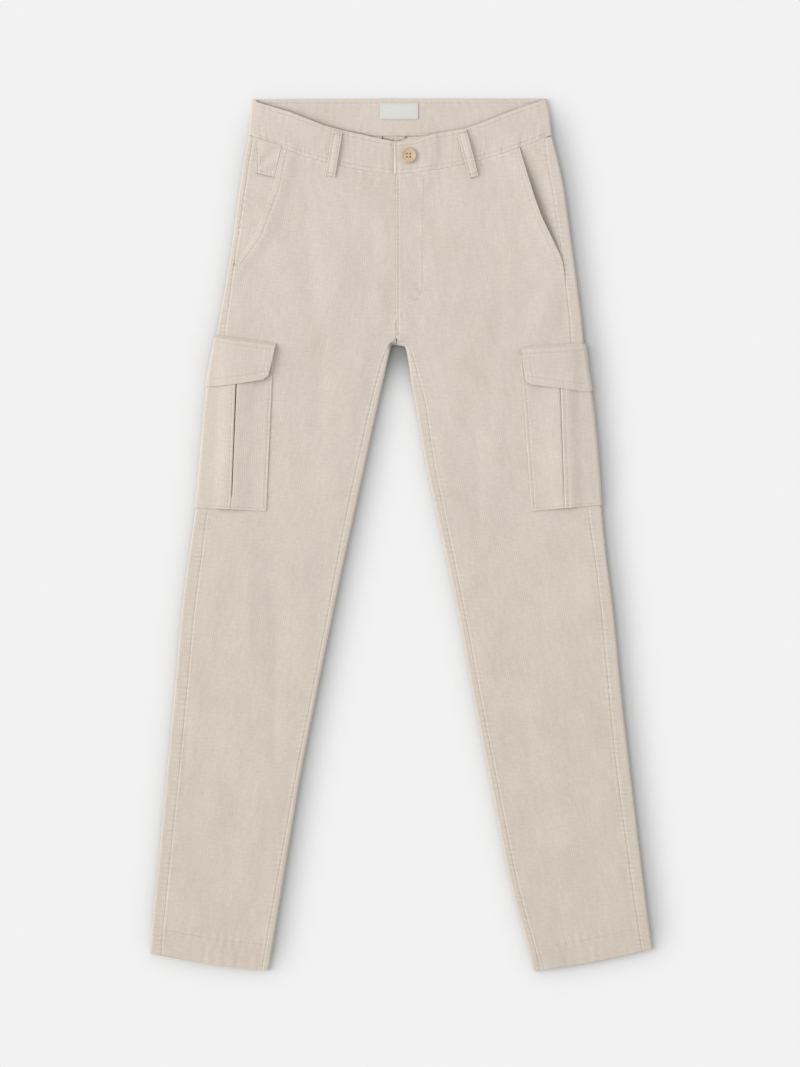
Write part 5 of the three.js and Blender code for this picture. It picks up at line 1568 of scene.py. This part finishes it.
clothMaterial = corduroyMaterial("fineWaleCorduroy")
threadMaterial = plainWeaveMaterial("sewingThread", (0.74, 0.66, 0.57, 1), (0.62, 0.54, 0.45, 1), 9000, 0.75)
labelMaterial = plainWeaveMaterial("labelWeave", (0.75, 0.75, 0.725, 1), (0.6, 0.6, 0.575, 1), 9500, 0.8)
resin = resinMaterial()
for key, piece in pieces.items():
    piece.data.materials.clear()
    usual = threadMaterial if key.endswith("Thread") else clothMaterial
    piece.data.materials.append({"label": labelMaterial, "button": resin}.get(key, usual))
print("trousers: materials made")


# Stage, light and camera
stage = {"size": 4500, "colour": (0.86, 0.86, 0.86, 1), "viewHeight": 1.2964, "distance": 3.2,
         "x": -0.0015, "y": 0.0016}
floorShade = {"cell": 5, "left": -440, "right": 480, "top": 620, "foot": -640, "spread": 17, "aside": 10,
              "strength": 0.6, "most": 0.31, "between": 0.4, "betweenFrom": 0.45, "betweenFade": 0.35,
              "wide": 30, "cellsAside": -2, "short": 24, "shortFoot": 8, "below": 0.3}
light = {"sky": 0.74, "sun": 1.7, "softness": 48, "from": (-0.84, 0.08, 0.54)}


def blurred(values, spread):
    reach = int(3 * spread) + 1
    weights = bell(np.arange(-reach, reach + 1), spread * math.sqrt(2))
    weights /= weights.sum()
    for axis in (0, 1):
        values = np.apply_along_axis(lambda row: np.convolve(row, weights, mode="same"), axis, values)
    return values


def makeFloor():  # a pale surface with a painted soft shadow beside the trousers, deepest between the legs
    xs = np.arange(floorShade["left"], floorShade["right"] + 1, floorShade["cell"], dtype=float)
    ys = np.arange(floorShade["foot"], floorShade["top"] + 1, floorShade["cell"], dtype=float)
    covered = np.zeros((len(ys), len(xs)))
    for row, y in enumerate(ys):
        down = backWaistY - y
        if down < floorShade["short"]:
            continue
        for column, x in enumerate(xs):
            height = heightAt(x - floorShade["aside"], down + floorShade["shortFoot"])
            covered[row, column] = height is not None
    shade = floorShade["strength"] * blurred(covered, floorShade["spread"] / floorShade["cell"])
    # the painted shadow deepens where the trousers lie around it, as between the legs
    around = blurred(covered, floorShade["wide"] / floorShade["cell"])
    around = np.roll(around, floorShade["cellsAside"], axis=1)
    between = smooth((around - floorShade["betweenFrom"]) / floorShade["betweenFade"])
    shade = np.minimum(shade, floorShade["most"]) + floorShade["between"] * between
    xs = np.concatenate([[-stage["size"]], xs, [stage["size"]]])
    ys = np.concatenate([[-stage["size"]], ys, [stage["size"]]])
    shade = np.pad(shade, 1)
    points = np.stack([*np.meshgrid(xs, ys), np.full(shade.shape, -floorShade["below"])], -1).reshape(-1, 3)
    number = np.arange(shade.size).reshape(shade.shape)
    corners = [number[:-1, :-1], number[:-1, 1:], number[1:, 1:], number[1:, :-1]]
    mesh = newMesh("floor", points, np.stack(corners, -1).reshape(-1, 4).tolist())
    mesh.attributes.new("shade", "FLOAT", "POINT").data.foreach_set("value", shade.ravel())
    return newPiece("floor", mesh)


floor = makeFloor()
floorMaterial, floorTree, floorShader = newMaterial(
    "paleFloor", {"Roughness": 0.95, "Specular IOR Level": 0.1})
floorDark = addNode(floorTree, "ShaderNodeAttribute", attribute_name="shade").outputs["Fac"]
floorColour = mixColour(floorTree, floorDark, stage["colour"], (0, 0, 0, 1))
floorTree.links.new(floorColour, floorShader.inputs["Base Color"])
floor.data.materials.append(floorMaterial)

world = bpy.data.worlds.new("studio")
bpy.context.scene.world = world
world.use_nodes = True
sky = world.node_tree.nodes["Background"]
sky.inputs["Color"].default_value = white
sky.inputs["Strength"].default_value = light["sky"]

sunData = bpy.data.lights.new("key", "SUN")
sunData.energy = light["sun"]
sunData.angle = math.radians(light["softness"])
sun = bpy.data.objects.new("key", sunData)
sun.rotation_mode = "QUATERNION"
sun.rotation_quaternion = Vector(light["from"]).to_track_quat("Z", "Y")
bpy.context.scene.collection.objects.link(sun)

cameraData = bpy.data.cameras.new("camera")
cameraData.lens = cameraData.sensor_width * stage["distance"] / stage["viewHeight"]
cameraData.clip_end = 30
camera = bpy.data.objects.new("camera", cameraData)
camera.location = (stage["x"], stage["y"], stage["distance"])
bpy.context.scene.collection.objects.link(camera)
bpy.context.scene.camera = camera
bpy.context.scene.view_settings.view_transform = "Standard"
print("trousers: stage set")
